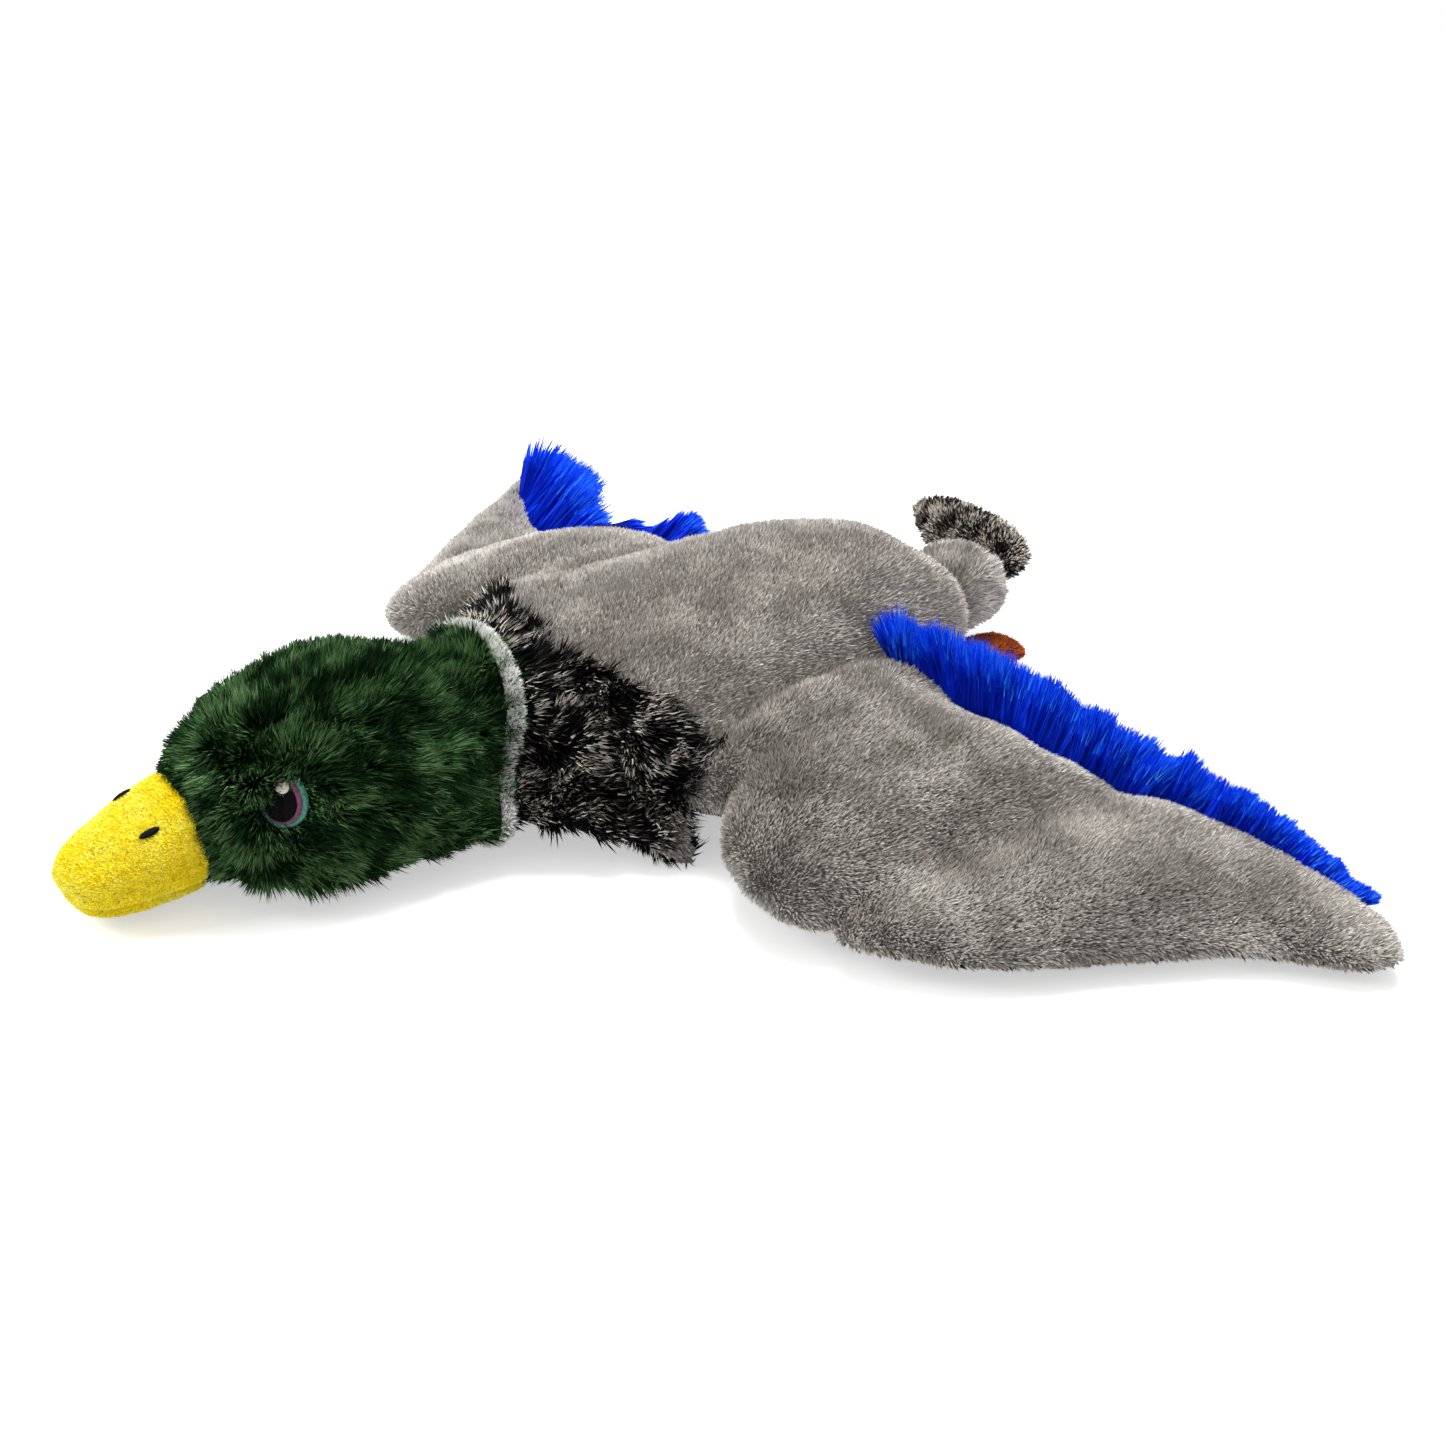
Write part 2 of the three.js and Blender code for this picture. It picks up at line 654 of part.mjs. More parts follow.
function buildFeet() {
  const pad = jointedSolid(FOOT, { shape: WING_SHAPE, steps: 16 }).translate(FOOT_X, 0, 0);
  const group = new THREE.Group();
  group.add(node("foot_left", pad, cloth(ORANGE)));
  const right = mirrored(pad).translate(-RIGHT_FOOT_SHIFT, 0, 0);
  group.add(node("foot_right", right, cloth(ORANGE)));
  return group;
}

const duck = new THREE.Group();
duck.add(buildTorso(), buildChest(), buildHead());
duck.add(buildLeftWing(), buildRightWing());
duck.add(buildTail(), buildFeet());

export default duck;
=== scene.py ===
"""The looks of a plush duck toy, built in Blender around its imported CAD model.

The skin is one soft union of the CAD panels, swollen by a short cloth simulation and then cut
into the sewn panels that ride on the bodies. Each panel grows a pile of real fur strands
through one Geometry Nodes tree. Metres, +Z up, bill towards -Y, the duck's own left along +X.
"""

import logging
import math
from dataclasses import dataclass, replace
from enum import Enum
from typing import Callable, Optional, Sequence

import bpy
import numpy as np
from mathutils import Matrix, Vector, noise


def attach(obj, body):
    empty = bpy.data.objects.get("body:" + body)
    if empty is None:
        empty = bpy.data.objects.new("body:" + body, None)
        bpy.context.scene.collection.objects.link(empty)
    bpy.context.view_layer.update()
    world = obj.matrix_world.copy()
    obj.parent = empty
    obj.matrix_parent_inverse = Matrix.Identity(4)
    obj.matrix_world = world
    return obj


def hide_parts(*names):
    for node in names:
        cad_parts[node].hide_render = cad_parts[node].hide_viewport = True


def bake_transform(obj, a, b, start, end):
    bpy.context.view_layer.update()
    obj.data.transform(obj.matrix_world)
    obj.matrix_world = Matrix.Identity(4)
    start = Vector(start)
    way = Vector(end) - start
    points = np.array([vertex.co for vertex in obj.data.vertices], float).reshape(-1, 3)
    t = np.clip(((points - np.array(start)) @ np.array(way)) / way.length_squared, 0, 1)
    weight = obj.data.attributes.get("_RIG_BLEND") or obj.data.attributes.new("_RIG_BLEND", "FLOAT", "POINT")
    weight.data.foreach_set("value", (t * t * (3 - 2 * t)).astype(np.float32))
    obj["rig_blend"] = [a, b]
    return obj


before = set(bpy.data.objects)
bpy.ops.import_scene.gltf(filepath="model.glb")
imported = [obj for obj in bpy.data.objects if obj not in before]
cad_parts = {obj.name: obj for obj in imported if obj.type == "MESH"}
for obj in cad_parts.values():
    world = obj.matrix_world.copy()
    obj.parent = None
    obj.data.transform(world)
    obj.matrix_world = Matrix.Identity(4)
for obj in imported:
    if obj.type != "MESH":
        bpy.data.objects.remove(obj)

LOG = logging.getLogger("duck")
MM = 0.001
VOXEL = 5 * MM
SIM_FRAMES = 20
SIM_PRESSURE = 4.0
SIM_CAP = 4 * MM
MOST_TRIANGLES = 190_000
LAYER_SEED_STEP = 100
FLOOR_CLEAR = 0.3 * MM
SKIN_CLEAR = 0.5 * MM
CREASE_WIDTH = 8 * MM
CLOTH_CLEAR = 0.4 * MM
Array = np.ndarray
Colour = tuple[float, float, float]


def srgb(red: float, green: float, blue: float) -> Colour:
    """Turns a display colour into a linear one.

    Args:
        red: red from 0 to 255.
        green: green from 0 to 255.
        blue: blue from 0 to 255.

    Returns:
        The linear colour.
    """
    def linear(value: float) -> float:
        """Turns one channel into its linear share."""
        part = value / 255
        return part / 12.92 if part <= 0.04045 else ((part + 0.055) / 1.055) ** 2.4

    return linear(red), linear(green), linear(blue)


def rgba(colour: Colour) -> tuple[float, float, float, float]:
    """Adds full opacity to a colour.

    Args:
        colour: a linear colour.

    Returns:
        The colour with alpha 1.
    """
    return colour[0], colour[1], colour[2], 1.0


# ---------------------------------------------------------------------------- finishes


@dataclass(frozen=True)
class PileFinish:
    """The fur strands' colours: three shades, each with a root and a tip."""

    name: str
    roots: tuple[Colour, Colour, Colour]
    tips: tuple[Colour, Colour, Colour]
    roughness: float = 0.75
    sheen: float = 0.0
    specular: float = 0.08

    def materials(self) -> list[bpy.types.Material]:
        """Makes the six strand materials.

        Returns:
            Root and tip of each shade in turn.
        """
        made = []
        for index, (root, tip) in enumerate(zip(self.roots, self.tips)):
            for part, colour in (("root", root), ("tip", tip)):
                material = bpy.data.materials.new(f"{self.name}_{part}_{index}")
                material.use_nodes = True
                shader = material.node_tree.nodes["Principled BSDF"]
                shader.inputs["Base Color"].default_value = rgba(colour)
                shader.inputs["Roughness"].default_value = self.roughness
                shader.inputs["Specular IOR Level"].default_value = self.specular
                shader.inputs["Sheen Weight"].default_value = self.sheen
                made.append(material)
        return made


@dataclass(frozen=True)
class ClothFinish:
    """Backing cloth, thread, filling or plastic with mottled colour and a fine relief."""

    name: str
    dark: Colour
    light: Colour
    mottle_scale: float = 60.0
    relief_scale: float = 900.0
    relief: float = 0.25
    roughness: float = 0.85
    sheen: float = 0.2
    specular: float = 0.25

    def material(self) -> bpy.types.Material:
        """Makes the material from two noises in object coordinates.

        Returns:
            The new material.
        """
        material = bpy.data.materials.new(self.name)
        material.use_nodes = True
        nodes, links = material.node_tree.nodes, material.node_tree.links
        shader = nodes["Principled BSDF"]
        place = nodes.new("ShaderNodeTexCoord")
        mottle = nodes.new("ShaderNodeTexNoise")
        mottle.inputs["Scale"].default_value = self.mottle_scale
        mottle.inputs["Detail"].default_value = 6.0
        ramp = nodes.new("ShaderNodeValToRGB")
        ramp.color_ramp.elements[0].position = 0.32
        ramp.color_ramp.elements[0].color = rgba(self.dark)
        ramp.color_ramp.elements[1].position = 0.68
        ramp.color_ramp.elements[1].color = rgba(self.light)
        grain = nodes.new("ShaderNodeTexNoise")
        grain.inputs["Scale"].default_value = self.relief_scale
        grain.inputs["Detail"].default_value = 3.0
        bump = nodes.new("ShaderNodeBump")
        bump.inputs["Strength"].default_value = self.relief
        bump.inputs["Distance"].default_value = 0.4 * MM
        shader.inputs["Roughness"].default_value = self.roughness
        shader.inputs["Specular IOR Level"].default_value = self.specular
        shader.inputs["Sheen Weight"].default_value = self.sheen
        links.new(place.outputs["Object"], mottle.inputs["Vector"])
        links.new(place.outputs["Object"], grain.inputs["Vector"])
        links.new(mottle.outputs["Fac"], ramp.inputs["Fac"])
        links.new(ramp.outputs["Color"], shader.inputs["Base Color"])
        links.new(grain.outputs["Fac"], bump.inputs["Height"])
        links.new(bump.outputs["Normal"], shader.inputs["Normal"])
        return material


GREY_PILE = PileFinish(
    "grey_pile",
    (srgb(148, 142, 136), srgb(162, 156, 150), srgb(174, 169, 163)),
    (srgb(172, 166, 160), srgb(198, 193, 187), srgb(222, 218, 212)),
    sheen=0.1,
)
GREEN_PILE = PileFinish(
    "green_pile",
    (srgb(5, 17, 7), srgb(10, 30, 12), srgb(20, 48, 20)),
    (srgb(18, 46, 20), srgb(50, 88, 46), srgb(106, 142, 92)),
)
BLACK_PILE = PileFinish(
    "black_pile",
    (srgb(8, 9, 10), srgb(12, 12, 13), srgb(22, 22, 23)),
    (srgb(14, 15, 17), srgb(70, 67, 64), srgb(206, 199, 188)),
)
MOTTLED_PILE = PileFinish(
    "mottled_pile",
    (srgb(26, 24, 23), srgb(44, 41, 39), srgb(72, 67, 63)),
    (srgb(48, 45, 43), srgb(128, 122, 116), srgb(232, 224, 214)),
)
WHITE_PILE = PileFinish(
    "white_pile",
    (srgb(176, 176, 172), srgb(190, 190, 186), srgb(205, 205, 200)),
    (srgb(222, 222, 218), srgb(236, 236, 232), srgb(247, 247, 244)),
)
YELLOW_PILE = PileFinish(
    "yellow_pile",
    (srgb(250, 230, 26), srgb(253, 238, 38), srgb(255, 244, 60)),
    (srgb(254, 238, 44), srgb(255, 247, 84), srgb(255, 252, 140)),
)
ORANGE_PILE = PileFinish(
    "orange_pile",
    (srgb(140, 62, 24), srgb(158, 74, 30), srgb(172, 86, 38)),
    (srgb(172, 84, 36), srgb(196, 102, 48), srgb(216, 126, 68)),
)
BLUE_PILE = PileFinish(
    "blue_pile",
    (srgb(0, 34, 182), srgb(0, 46, 208), srgb(2, 60, 226)),
    (srgb(0, 60, 228), srgb(6, 84, 244), srgb(46, 126, 252)),
    roughness=0.6,
)
GREY_CLOTH = ClothFinish("grey_plush", srgb(148, 142, 136), srgb(172, 167, 161))
GREEN_CLOTH = ClothFinish("green_plush", srgb(5, 15, 6), srgb(13, 32, 13))
BLACK_CLOTH = ClothFinish("black_fur", srgb(7, 8, 9), srgb(20, 20, 21))
MOTTLED_CLOTH = ClothFinish("mottled_plush", srgb(22, 20, 19), srgb(66, 61, 58), mottle_scale=140.0)
WHITE_CLOTH = ClothFinish("white_plush", srgb(186, 186, 182), srgb(218, 218, 214))
YELLOW_CLOTH = ClothFinish(
    "yellow_plush", srgb(250, 222, 34), srgb(255, 240, 76), mottle_scale=300.0, relief=0.3
)
ORANGE_CLOTH = ClothFinish("orange_plush", srgb(150, 66, 26), srgb(192, 98, 46))
BLUE_CLOTH = ClothFinish("blue_fringe", srgb(2, 14, 84), srgb(4, 28, 132))
FIBRE = ClothFinish("fibre_filling", srgb(222, 222, 218), srgb(246, 246, 243), 90.0, 500.0, 1.0)
FILM = ClothFinish(
    "crinkle_film", srgb(196, 194, 186), srgb(216, 214, 206), 220.0, 260.0, 0.8, 0.35, 0.0, 0.5
)
SHELL_PLASTIC = ClothFinish(
    "squeaker_shell", srgb(226, 226, 220), srgb(240, 240, 235), 40.0, 700.0, 0.1, 0.42, 0.0, 0.5
)
REED_PLASTIC = ClothFinish(
    "squeaker_reed", srgb(196, 48, 36), srgb(214, 62, 48), 40.0, 700.0, 0.1, 0.4, 0.0, 0.5
)


def thread(name: str, dark: Colour, light: Colour) -> ClothFinish:
    """Makes the finish of an embroidery thread.

    Args:
        name: the record's material slot.
        dark: the darker linear colour.
        light: the lighter linear colour.

    Returns:
        The finish.
    """
    return ClothFinish(name, dark, light, 900.0, 2600.0, 0.35, 0.45, 0.1, 0.45)


TEAL_THREAD = thread("teal_thread", srgb(44, 112, 98), srgb(92, 170, 152))
PURPLE_THREAD = thread("purple_thread", srgb(92, 40, 72), srgb(152, 84, 118))
BLACK_THREAD = ClothFinish(
    "black_thread", srgb(5, 5, 7), srgb(14, 14, 17), 900.0, 2600.0, 0.35, 0.7, 0.0, 0.12
)
CREAM_THREAD = thread("cream_thread", srgb(214, 208, 190), srgb(242, 238, 224))


# ---------------------------------------------------------------------------- mesh helpers


def new_object(name: str, mesh: bpy.types.Mesh) -> bpy.types.Object:
    """Links a mesh into the scene as an object at the origin.

    Args:
        name: the object's name.
        mesh: its mesh.

    Returns:
        The object.
    """
    made = bpy.data.objects.new(name, mesh)
    bpy.context.scene.collection.objects.link(made)
    return made


def mesh_from(name: str, points: Array, faces: Sequence[Sequence[int]]) -> bpy.types.Mesh:
    """Makes a smooth-shaded mesh.

    Args:
        name: the mesh's name.
        points: its vertices, in metres.
        faces: vertex numbers of each face.

    Returns:
        The mesh.
    """
    mesh = bpy.data.meshes.new(name)
    mesh.from_pydata([tuple(p) for p in points], [], [tuple(f) for f in faces])
    mesh.validate()
    mesh.polygons.foreach_set("use_smooth", [True] * len(mesh.polygons))
    mesh.update()
    return mesh


def points_of(mesh: bpy.types.Mesh) -> Array:
    """Reads a mesh's vertices.

    Args:
        mesh: the mesh.

    Returns:
        An array with a row for each vertex.
    """
    flat = np.empty(len(mesh.vertices) * 3, np.float64)
    mesh.vertices.foreach_get("co", flat)
    return flat.reshape(-1, 3)


def normals_of(mesh: bpy.types.Mesh) -> Array:
    """Reads a mesh's vertex normals.

    Args:
        mesh: the mesh.

    Returns:
        An array with a row for each vertex.
    """
    flat = np.empty(len(mesh.vertices) * 3, np.float64)
    mesh.vertex_normals.foreach_get("vector", flat)
    return flat.reshape(-1, 3)


def move_points(mesh: bpy.types.Mesh, points: Array) -> None:
    """Writes a mesh's vertices.

    Args:
        mesh: the mesh to change.
        points: a row for each vertex.
    """
    mesh.vertices.foreach_set("co", points.astype(np.float32).ravel())
    mesh.update()


def evaluated(source: bpy.types.Object) -> bpy.types.Mesh:
    """Freezes an object's modifiers.

    Args:
        source: the object to evaluate.

    Returns:
        A new mesh with the modifiers applied.
    """
    graph = bpy.context.evaluated_depsgraph_get()
    graph.update()
    return bpy.data.meshes.new_from_object(source.evaluated_get(graph), depsgraph=graph)


def copy_of_nodes(names: Sequence[str]) -> tuple[Array, list[list[int]]]:
    """Gathers the geometry of CAD nodes.

    Args:
        names: the nodes.

    Returns:
        All their vertices in the world frame, and their faces.
    """
    points: list[Array] = []
    faces: list[list[int]] = []
    count = 0
    for name in names:
        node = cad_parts[name]
        placed = points_of(node.data)
        matrix = np.array(node.matrix_world)
        placed = placed @ matrix[:3, :3].T + matrix[:3, 3]
        faces += [[v + count for v in polygon.vertices] for polygon in node.data.polygons]
        points.append(placed)
        count += len(placed)
    return np.concatenate(points), faces


def ellipsoid(centre: Vector, radii: Vector, steps: int = 12) -> tuple[Array, list[list[int]]]:
    """Makes a closed ellipsoid that fills a hollow between two soft parts.

    Args:
        centre: its middle.
        radii: its three half sizes.
        steps: divisions from pole to pole.

    Returns:
        Vertices and faces.
    """
    around = 2 * steps
    points = [[0.0, 0.0, -1.0]]
    for ring in range(1, steps):
        level = math.pi * ring / steps - math.pi / 2
        for step in range(around):
            turn = 2 * math.pi * step / around
            points.append(
                [math.cos(level) * math.cos(turn), math.cos(level) * math.sin(turn), math.sin(level)]
            )
    points.append([0.0, 0.0, 1.0])
    faces: list[list[int]] = []
    last = len(points) - 1
    for step in range(around):
        after = (step + 1) % around
        faces.append([0, 1 + after, 1 + step])
        faces.append([last, last - around + step, last - around + after])
        for ring in range(steps - 2):
            low, high = 1 + ring * around, 1 + (ring + 1) * around
            faces.append([low + step, low + after, high + after, high + step])
    return np.array(points) * np.array(radii) + np.array(centre), faces


def remeshed(points: Array, faces: Sequence[Sequence[int]], voxel: float) -> bpy.types.Mesh:
    """Joins closed solids into one even mesh and keeps only its outer skin.

    Args:
        points: vertices of all the solids.
        faces: their faces.
        voxel: the remesh's cell, in metres.

    Returns:
        The outer skin.
    """
    raw = new_object("raw", mesh_from("raw", points, faces))
    modifier = raw.modifiers.new("voxels", "REMESH")
    modifier.mode = "VOXEL"
    modifier.voxel_size = voxel
    modifier.adaptivity = 0.0
    mesh = evaluated(raw)
    bpy.data.objects.remove(raw)
    return largest_part(mesh)


def largest_part(mesh: bpy.types.Mesh) -> bpy.types.Mesh:
    """Keeps the connected part with the most vertices and drops the rest, such as walls sealed inside it.

    Args:
        mesh: the mesh to clean.

    Returns:
        A new mesh with the one part.
    """
    count = len(mesh.vertices)
    edges = np.empty(len(mesh.edges) * 2, np.int64)
    mesh.edges.foreach_get("vertices", edges)
    edges = edges.reshape(-1, 2)
    label = np.arange(count)
    while True:
        low = np.minimum(label[edges[:, 0]], label[edges[:, 1]])
        fresh = label.copy()
        np.minimum.at(fresh, edges[:, 0], low)
        np.minimum.at(fresh, edges[:, 1], low)
        fresh = fresh[fresh]
        if np.array_equal(fresh, label):
            break
        label = fresh
    names, sizes = np.unique(label, return_counts=True)
    keep = label == names[np.argmax(sizes)]
    points = points_of(mesh)
    faces = [list(p.vertices) for p in mesh.polygons if keep[p.vertices[0]]]
    number = np.cumsum(keep) - 1
    kept = [[int(number[v]) for v in face] for face in faces]
    return mesh_from(mesh.name, points[keep], kept)


def relaxed(mesh: bpy.types.Mesh, rounds: int, subdivide: int = 0) -> bpy.types.Mesh:
    """Smooths a mesh, and subdivides it if asked.

    Args:
        mesh: the mesh.
        rounds: smoothing rounds.
        subdivide: subdivision levels.

    Returns:
        A new mesh.
    """
    carrier = new_object("relax", mesh)
    smooth = carrier.modifiers.new("smooth", "SMOOTH")
    smooth.factor = 0.5
    smooth.iterations = rounds
    if subdivide:
        finer = carrier.modifiers.new("finer", "SUBSURF")
        finer.levels = finer.render_levels = subdivide
    made = evaluated(carrier)
    bpy.data.objects.remove(carrier)
    return made


def swollen(mesh: bpy.types.Mesh) -> Array:
    """Blows a closed skin up softly with a pressure cloth simulation.

    Args:
        mesh: the closed skin.

    Returns:
        The moved vertices, each at most SIM_CAP from where it was.
    """
    rest = points_of(mesh)
    scene = bpy.context.scene
    carrier = new_object("swell", mesh.copy())
    cloth = carrier.modifiers.new("cloth", "CLOTH")
    cloth.settings.quality = 5
    cloth.settings.mass = 0.3
    cloth.settings.tension_stiffness = 25
    cloth.settings.compression_stiffness = 25
    cloth.settings.bending_stiffness = 0.8
    cloth.settings.use_pressure = True
    cloth.settings.uniform_pressure_force = SIM_PRESSURE
    cloth.settings.effector_weights.gravity = 0.0
    cloth.point_cache.frame_start, cloth.point_cache.frame_end = 1, SIM_FRAMES
    for step in range(1, SIM_FRAMES + 1):
        scene.frame_set(step)
    moved = points_of(evaluated(carrier))
    bpy.data.objects.remove(carrier)
    scene.frame_set(1)
    shift = moved - rest
    length = np.linalg.norm(shift, axis=1, keepdims=True)
    shift *= np.minimum(1.0, SIM_CAP / np.maximum(length, 1e-9))
    return rest + shift


def smooth_step(value: Array, low: float, high: float) -> Array:
    """Eases from 0 to 1 between two values.

    Args:
        value: where to read it.
        low: the value that gives 0.
        high: the value that gives 1.

    Returns:
        The eased share.
    """
    share = np.clip((value - low) / (high - low), 0.0, 1.0)
    return share * share * (3 - 2 * share)


def soft_noise(points: Array, size: float, seed: float) -> Array:
    """Reads smooth noise at each point.

    Args:
        points: where to read it.
        size: the size of its lumps, in metres.
        seed: shifts it to another field.

    Returns:
        Values from about -1 to 1.
    """
    shifted = points / size + seed
    return np.array([noise.noise(Vector(p)) for p in shifted])


# ---------------------------------------------------------------------------- the fur


class Strand(Enum):
    """Named strand shapes: their cuts along the length and how far they curl."""

    SHORT = ((0.0, 0.5, 1.0), (1.0, 0.85, 0.0), 0.12)
    LONG = ((0.0, 0.33, 0.68, 1.0), (1.0, 1.0, 0.8, 0.0), 0.2)

    def build(self) -> bpy.types.Object:
        """Makes one strand, a metre long and a metre wide, standing on the origin.

        Returns:
            A hidden object with the face attribute "segment": 0 near the root, 1 near the tip.
        """
        levels, widths, curl = self.value
        points, faces, segment = [], [], []
        for level, width in zip(levels, widths):
            bend = curl * level * level
            if width:
                points += [(-width / 2, bend, level), (width / 2, bend, level)]
            else:
                points.append((0.0, bend, level))
        for index in range(len(levels) - 1):
            base = 2 * index
            is_last = index == len(levels) - 2
            faces.append((base, base + 1, base + 2) if is_last else (base, base + 1, base + 3, base + 2))
            segment.append(0 if index < (len(levels) - 1) / 2 else 1)
        mesh = mesh_from(f"strand_{self.name.lower()}", np.array(points), faces)
        attribute = mesh.attributes.new("segment", "INT", "FACE")
        attribute.data.foreach_set("value", segment)
        made = new_object(mesh.name, mesh)
        made.hide_render = True
        return made

    @property
    def triangles(self) -> int:
        """How many triangles one strand has."""
        return 2 * (len(self.value[0]) - 2) + 1


@dataclass(frozen=True)
class Coat:
    """How a pile grows on a panel."""

    finish: PileFinish
    count: int
    width: float
    lift: float = 0.7
    swirl: float = 0.6
    swirl_size: float = 40 * MM
    clump: float = 0.5
    clump_size: float = 9 * MM
    jitter: float = 0.25
    patch_size: float = 16 * MM
    patchiness: float = 2.2
    shades: tuple[float, float] = (0.40, 0.60)
    strand: Strand = Strand.SHORT
    seed: int = 1
    layers: int = 1


class PileTree:
    """The Geometry Nodes tree that grows strands on a panel."""

    FLOATS = (
        "Density", "Width", "Lift", "Swirl", "Swirl Scale", "Clump", "Clump Scale", "Jitter",
        "Patch Scale", "Patchiness", "Low Shade", "High Shade",
    )
    SLOTS = ("Root 0", "Tip 0", "Root 1", "Tip 1", "Root 2", "Tip 2")

    def __init__(self) -> None:
        """Builds the tree once, with a named input for each setting."""
        self.tree = bpy.data.node_groups.new("pile_coat", "GeometryNodeTree")
        face = self.tree.interface
        face.new_socket("Geometry", in_out="INPUT", socket_type="NodeSocketGeometry")
        face.new_socket("Strand", in_out="INPUT", socket_type="NodeSocketObject")
        face.new_socket("Seed", in_out="INPUT", socket_type="NodeSocketInt")
        for name in self.FLOATS:
            face.new_socket(name, in_out="INPUT", socket_type="NodeSocketFloat")
        for name in self.SLOTS:
            face.new_socket(name, in_out="INPUT", socket_type="NodeSocketMaterial")
        face.new_socket("Geometry", in_out="OUTPUT", socket_type="NodeSocketGeometry")
        self.given = self._node("NodeGroupInput")
        self._wire()

    def _node(self, kind: str, **settings: object) -> bpy.types.Node:
        """Adds a node.

        Args:
            kind: its type.
            **settings: properties to set on it.

        Returns:
            The node.
        """
        made = self.tree.nodes.new(kind)
        for name, value in settings.items():
            setattr(made, name, value)
        return made

    def _link(self, source: bpy.types.NodeSocket, target: bpy.types.NodeSocket) -> None:
        """Joins two sockets.

        Args:
            source: the output.
            target: the input.
        """
        self.tree.links.new(source, target)

    def _vector(self, operation: str, first: object, second: object) -> bpy.types.NodeSocket:
        """Combines two vectors, or scales one.

        Args:
            operation: the vector maths to do.
            first: a vector output.
            second: a vector output, or a float one for SCALE.

        Returns:
            The result.
        """
        made = self._node("ShaderNodeVectorMath", operation=operation)
        self._link(first, made.inputs[0])
        if isinstance(second, tuple):
            made.inputs[1].default_value = second
        else:
            self._link(second, made.inputs["Scale" if operation == "SCALE" else 1])
        return made.outputs[0]

    def _maths(self, operation: str, first: object, second: object) -> bpy.types.NodeSocket:
        """Combines two numbers.

        Args:
            operation: the maths to do.
            first: a number or an output.
            second: a number or an output.

        Returns:
            The result.
        """
        made = self._node("ShaderNodeMath", operation=operation)
        for socket, value in zip(made.inputs, (first, second)):
            if isinstance(value, (int, float)):
                socket.default_value = value
            else:
                self._link(value, socket)
        return made.outputs[0]

    def _attribute(self, name: str, kind: str) -> bpy.types.NodeSocket:
        """Reads a stored attribute.

        Args:
            name: its name.
            kind: its data type.

        Returns:
            The output that carries it.
        """
        made = self._node("GeometryNodeInputNamedAttribute", data_type=kind)
        made.inputs["Name"].default_value = name
        return next(s for s in made.outputs if s.enabled and s.name == "Attribute")

    def _field(self, place: bpy.types.NodeSocket, scale: str, amount: str) -> bpy.types.NodeSocket:
        """A noise vector about zero.

        Args:
            place: the position to read it at.
            scale: the group input with its scale.
            amount: the group input with its strength.

        Returns:
            The vector.
        """
        texture = self._node("ShaderNodeTexNoise")
        texture.inputs["Detail"].default_value = 2.0
        self._link(place, texture.inputs["Vector"])
        self._link(self.given.outputs[scale], texture.inputs["Scale"])
        centred = self._vector("SUBTRACT", texture.outputs["Color"], (0.5, 0.5, 0.5))
        return self._vector("SCALE", centred, self.given.outputs[amount])

    def _random(self, low: float, high: float, salt: int) -> bpy.types.NodeSocket:
        """A random number for each strand.

        Args:
            low: the least.
            high: the most.
            salt: keeps it apart from the other random numbers.

        Returns:
            The number.
        """
        made = self._node("FunctionNodeRandomValue", data_type="FLOAT")
        made.inputs[2].default_value = low
        made.inputs[3].default_value = high
        self._link(self._maths("ADD", self.given.outputs["Seed"], salt), made.inputs["Seed"])
        return made.outputs[1]

    def _wire(self) -> None:
        """Joins everything from the scatter to the last Set Material."""
        given = self.given.outputs
        scatter = self._node("GeometryNodeDistributePointsOnFaces")
        self._link(given["Geometry"], scatter.inputs["Mesh"])
        cover = self._attribute("cover", "FLOAT")
        self._link(self._maths("MULTIPLY", given["Density"], cover), scatter.inputs["Density"])
        self._link(given["Seed"], scatter.inputs["Seed"])
        place = self._node("GeometryNodeInputPosition").outputs[0]
        swirl = self._field(place, "Swirl Scale", "Swirl")
        clump = self._field(place, "Clump Scale", "Clump")
        shake = self._node("FunctionNodeRandomValue", data_type="FLOAT_VECTOR")
        shake.inputs[0].default_value = (-1, -1, -1)
        shake.inputs[1].default_value = (1, 1, 1)
        self._link(given["Seed"], shake.inputs["Seed"])
        jitter = self._vector("SCALE", shake.outputs[0], given["Jitter"])
        upright = self._vector("SCALE", scatter.outputs["Normal"], given["Lift"])
        aim = self._vector("ADD", self._attribute("comb", "FLOAT_VECTOR"), upright)
        for extra in (swirl, clump, jitter):
            aim = self._vector("ADD", aim, extra)
        align = self._node("FunctionNodeAlignRotationToVector", axis="Z")
        self._link(aim, align.inputs["Vector"])
        spin = self._node("FunctionNodeEulerToRotation")
        turn = self._node("ShaderNodeCombineXYZ")
        self._link(self._random(0.0, 2 * math.pi, 11), turn.inputs["Z"])
        self._link(turn.outputs[0], spin.inputs[0])
        rotate = self._node("FunctionNodeRotateRotation", rotation_space="LOCAL")
        self._link(align.outputs[0], rotate.inputs[0])
        self._link(spin.outputs[0], rotate.inputs[1])
        size = self._node("ShaderNodeCombineXYZ")
        self._link(given["Width"], size.inputs["X"])
        self._link(given["Width"], size.inputs["Y"])
        length = self._maths("MULTIPLY", self._attribute("pile", "FLOAT"), self._random(0.7, 1.15, 23))
        self._link(length, size.inputs["Z"])
        strand = self._node("GeometryNodeObjectInfo")
        self._link(given["Strand"], strand.inputs["Object"])
        plant = self._node("GeometryNodeInstanceOnPoints")
        self._link(scatter.outputs["Points"], plant.inputs["Points"])
        self._link(strand.outputs["Geometry"], plant.inputs["Instance"])
        self._link(rotate.outputs[0], plant.inputs["Rotation"])
        self._link(size.outputs[0], plant.inputs["Scale"])
        patch = self._node("ShaderNodeTexNoise")
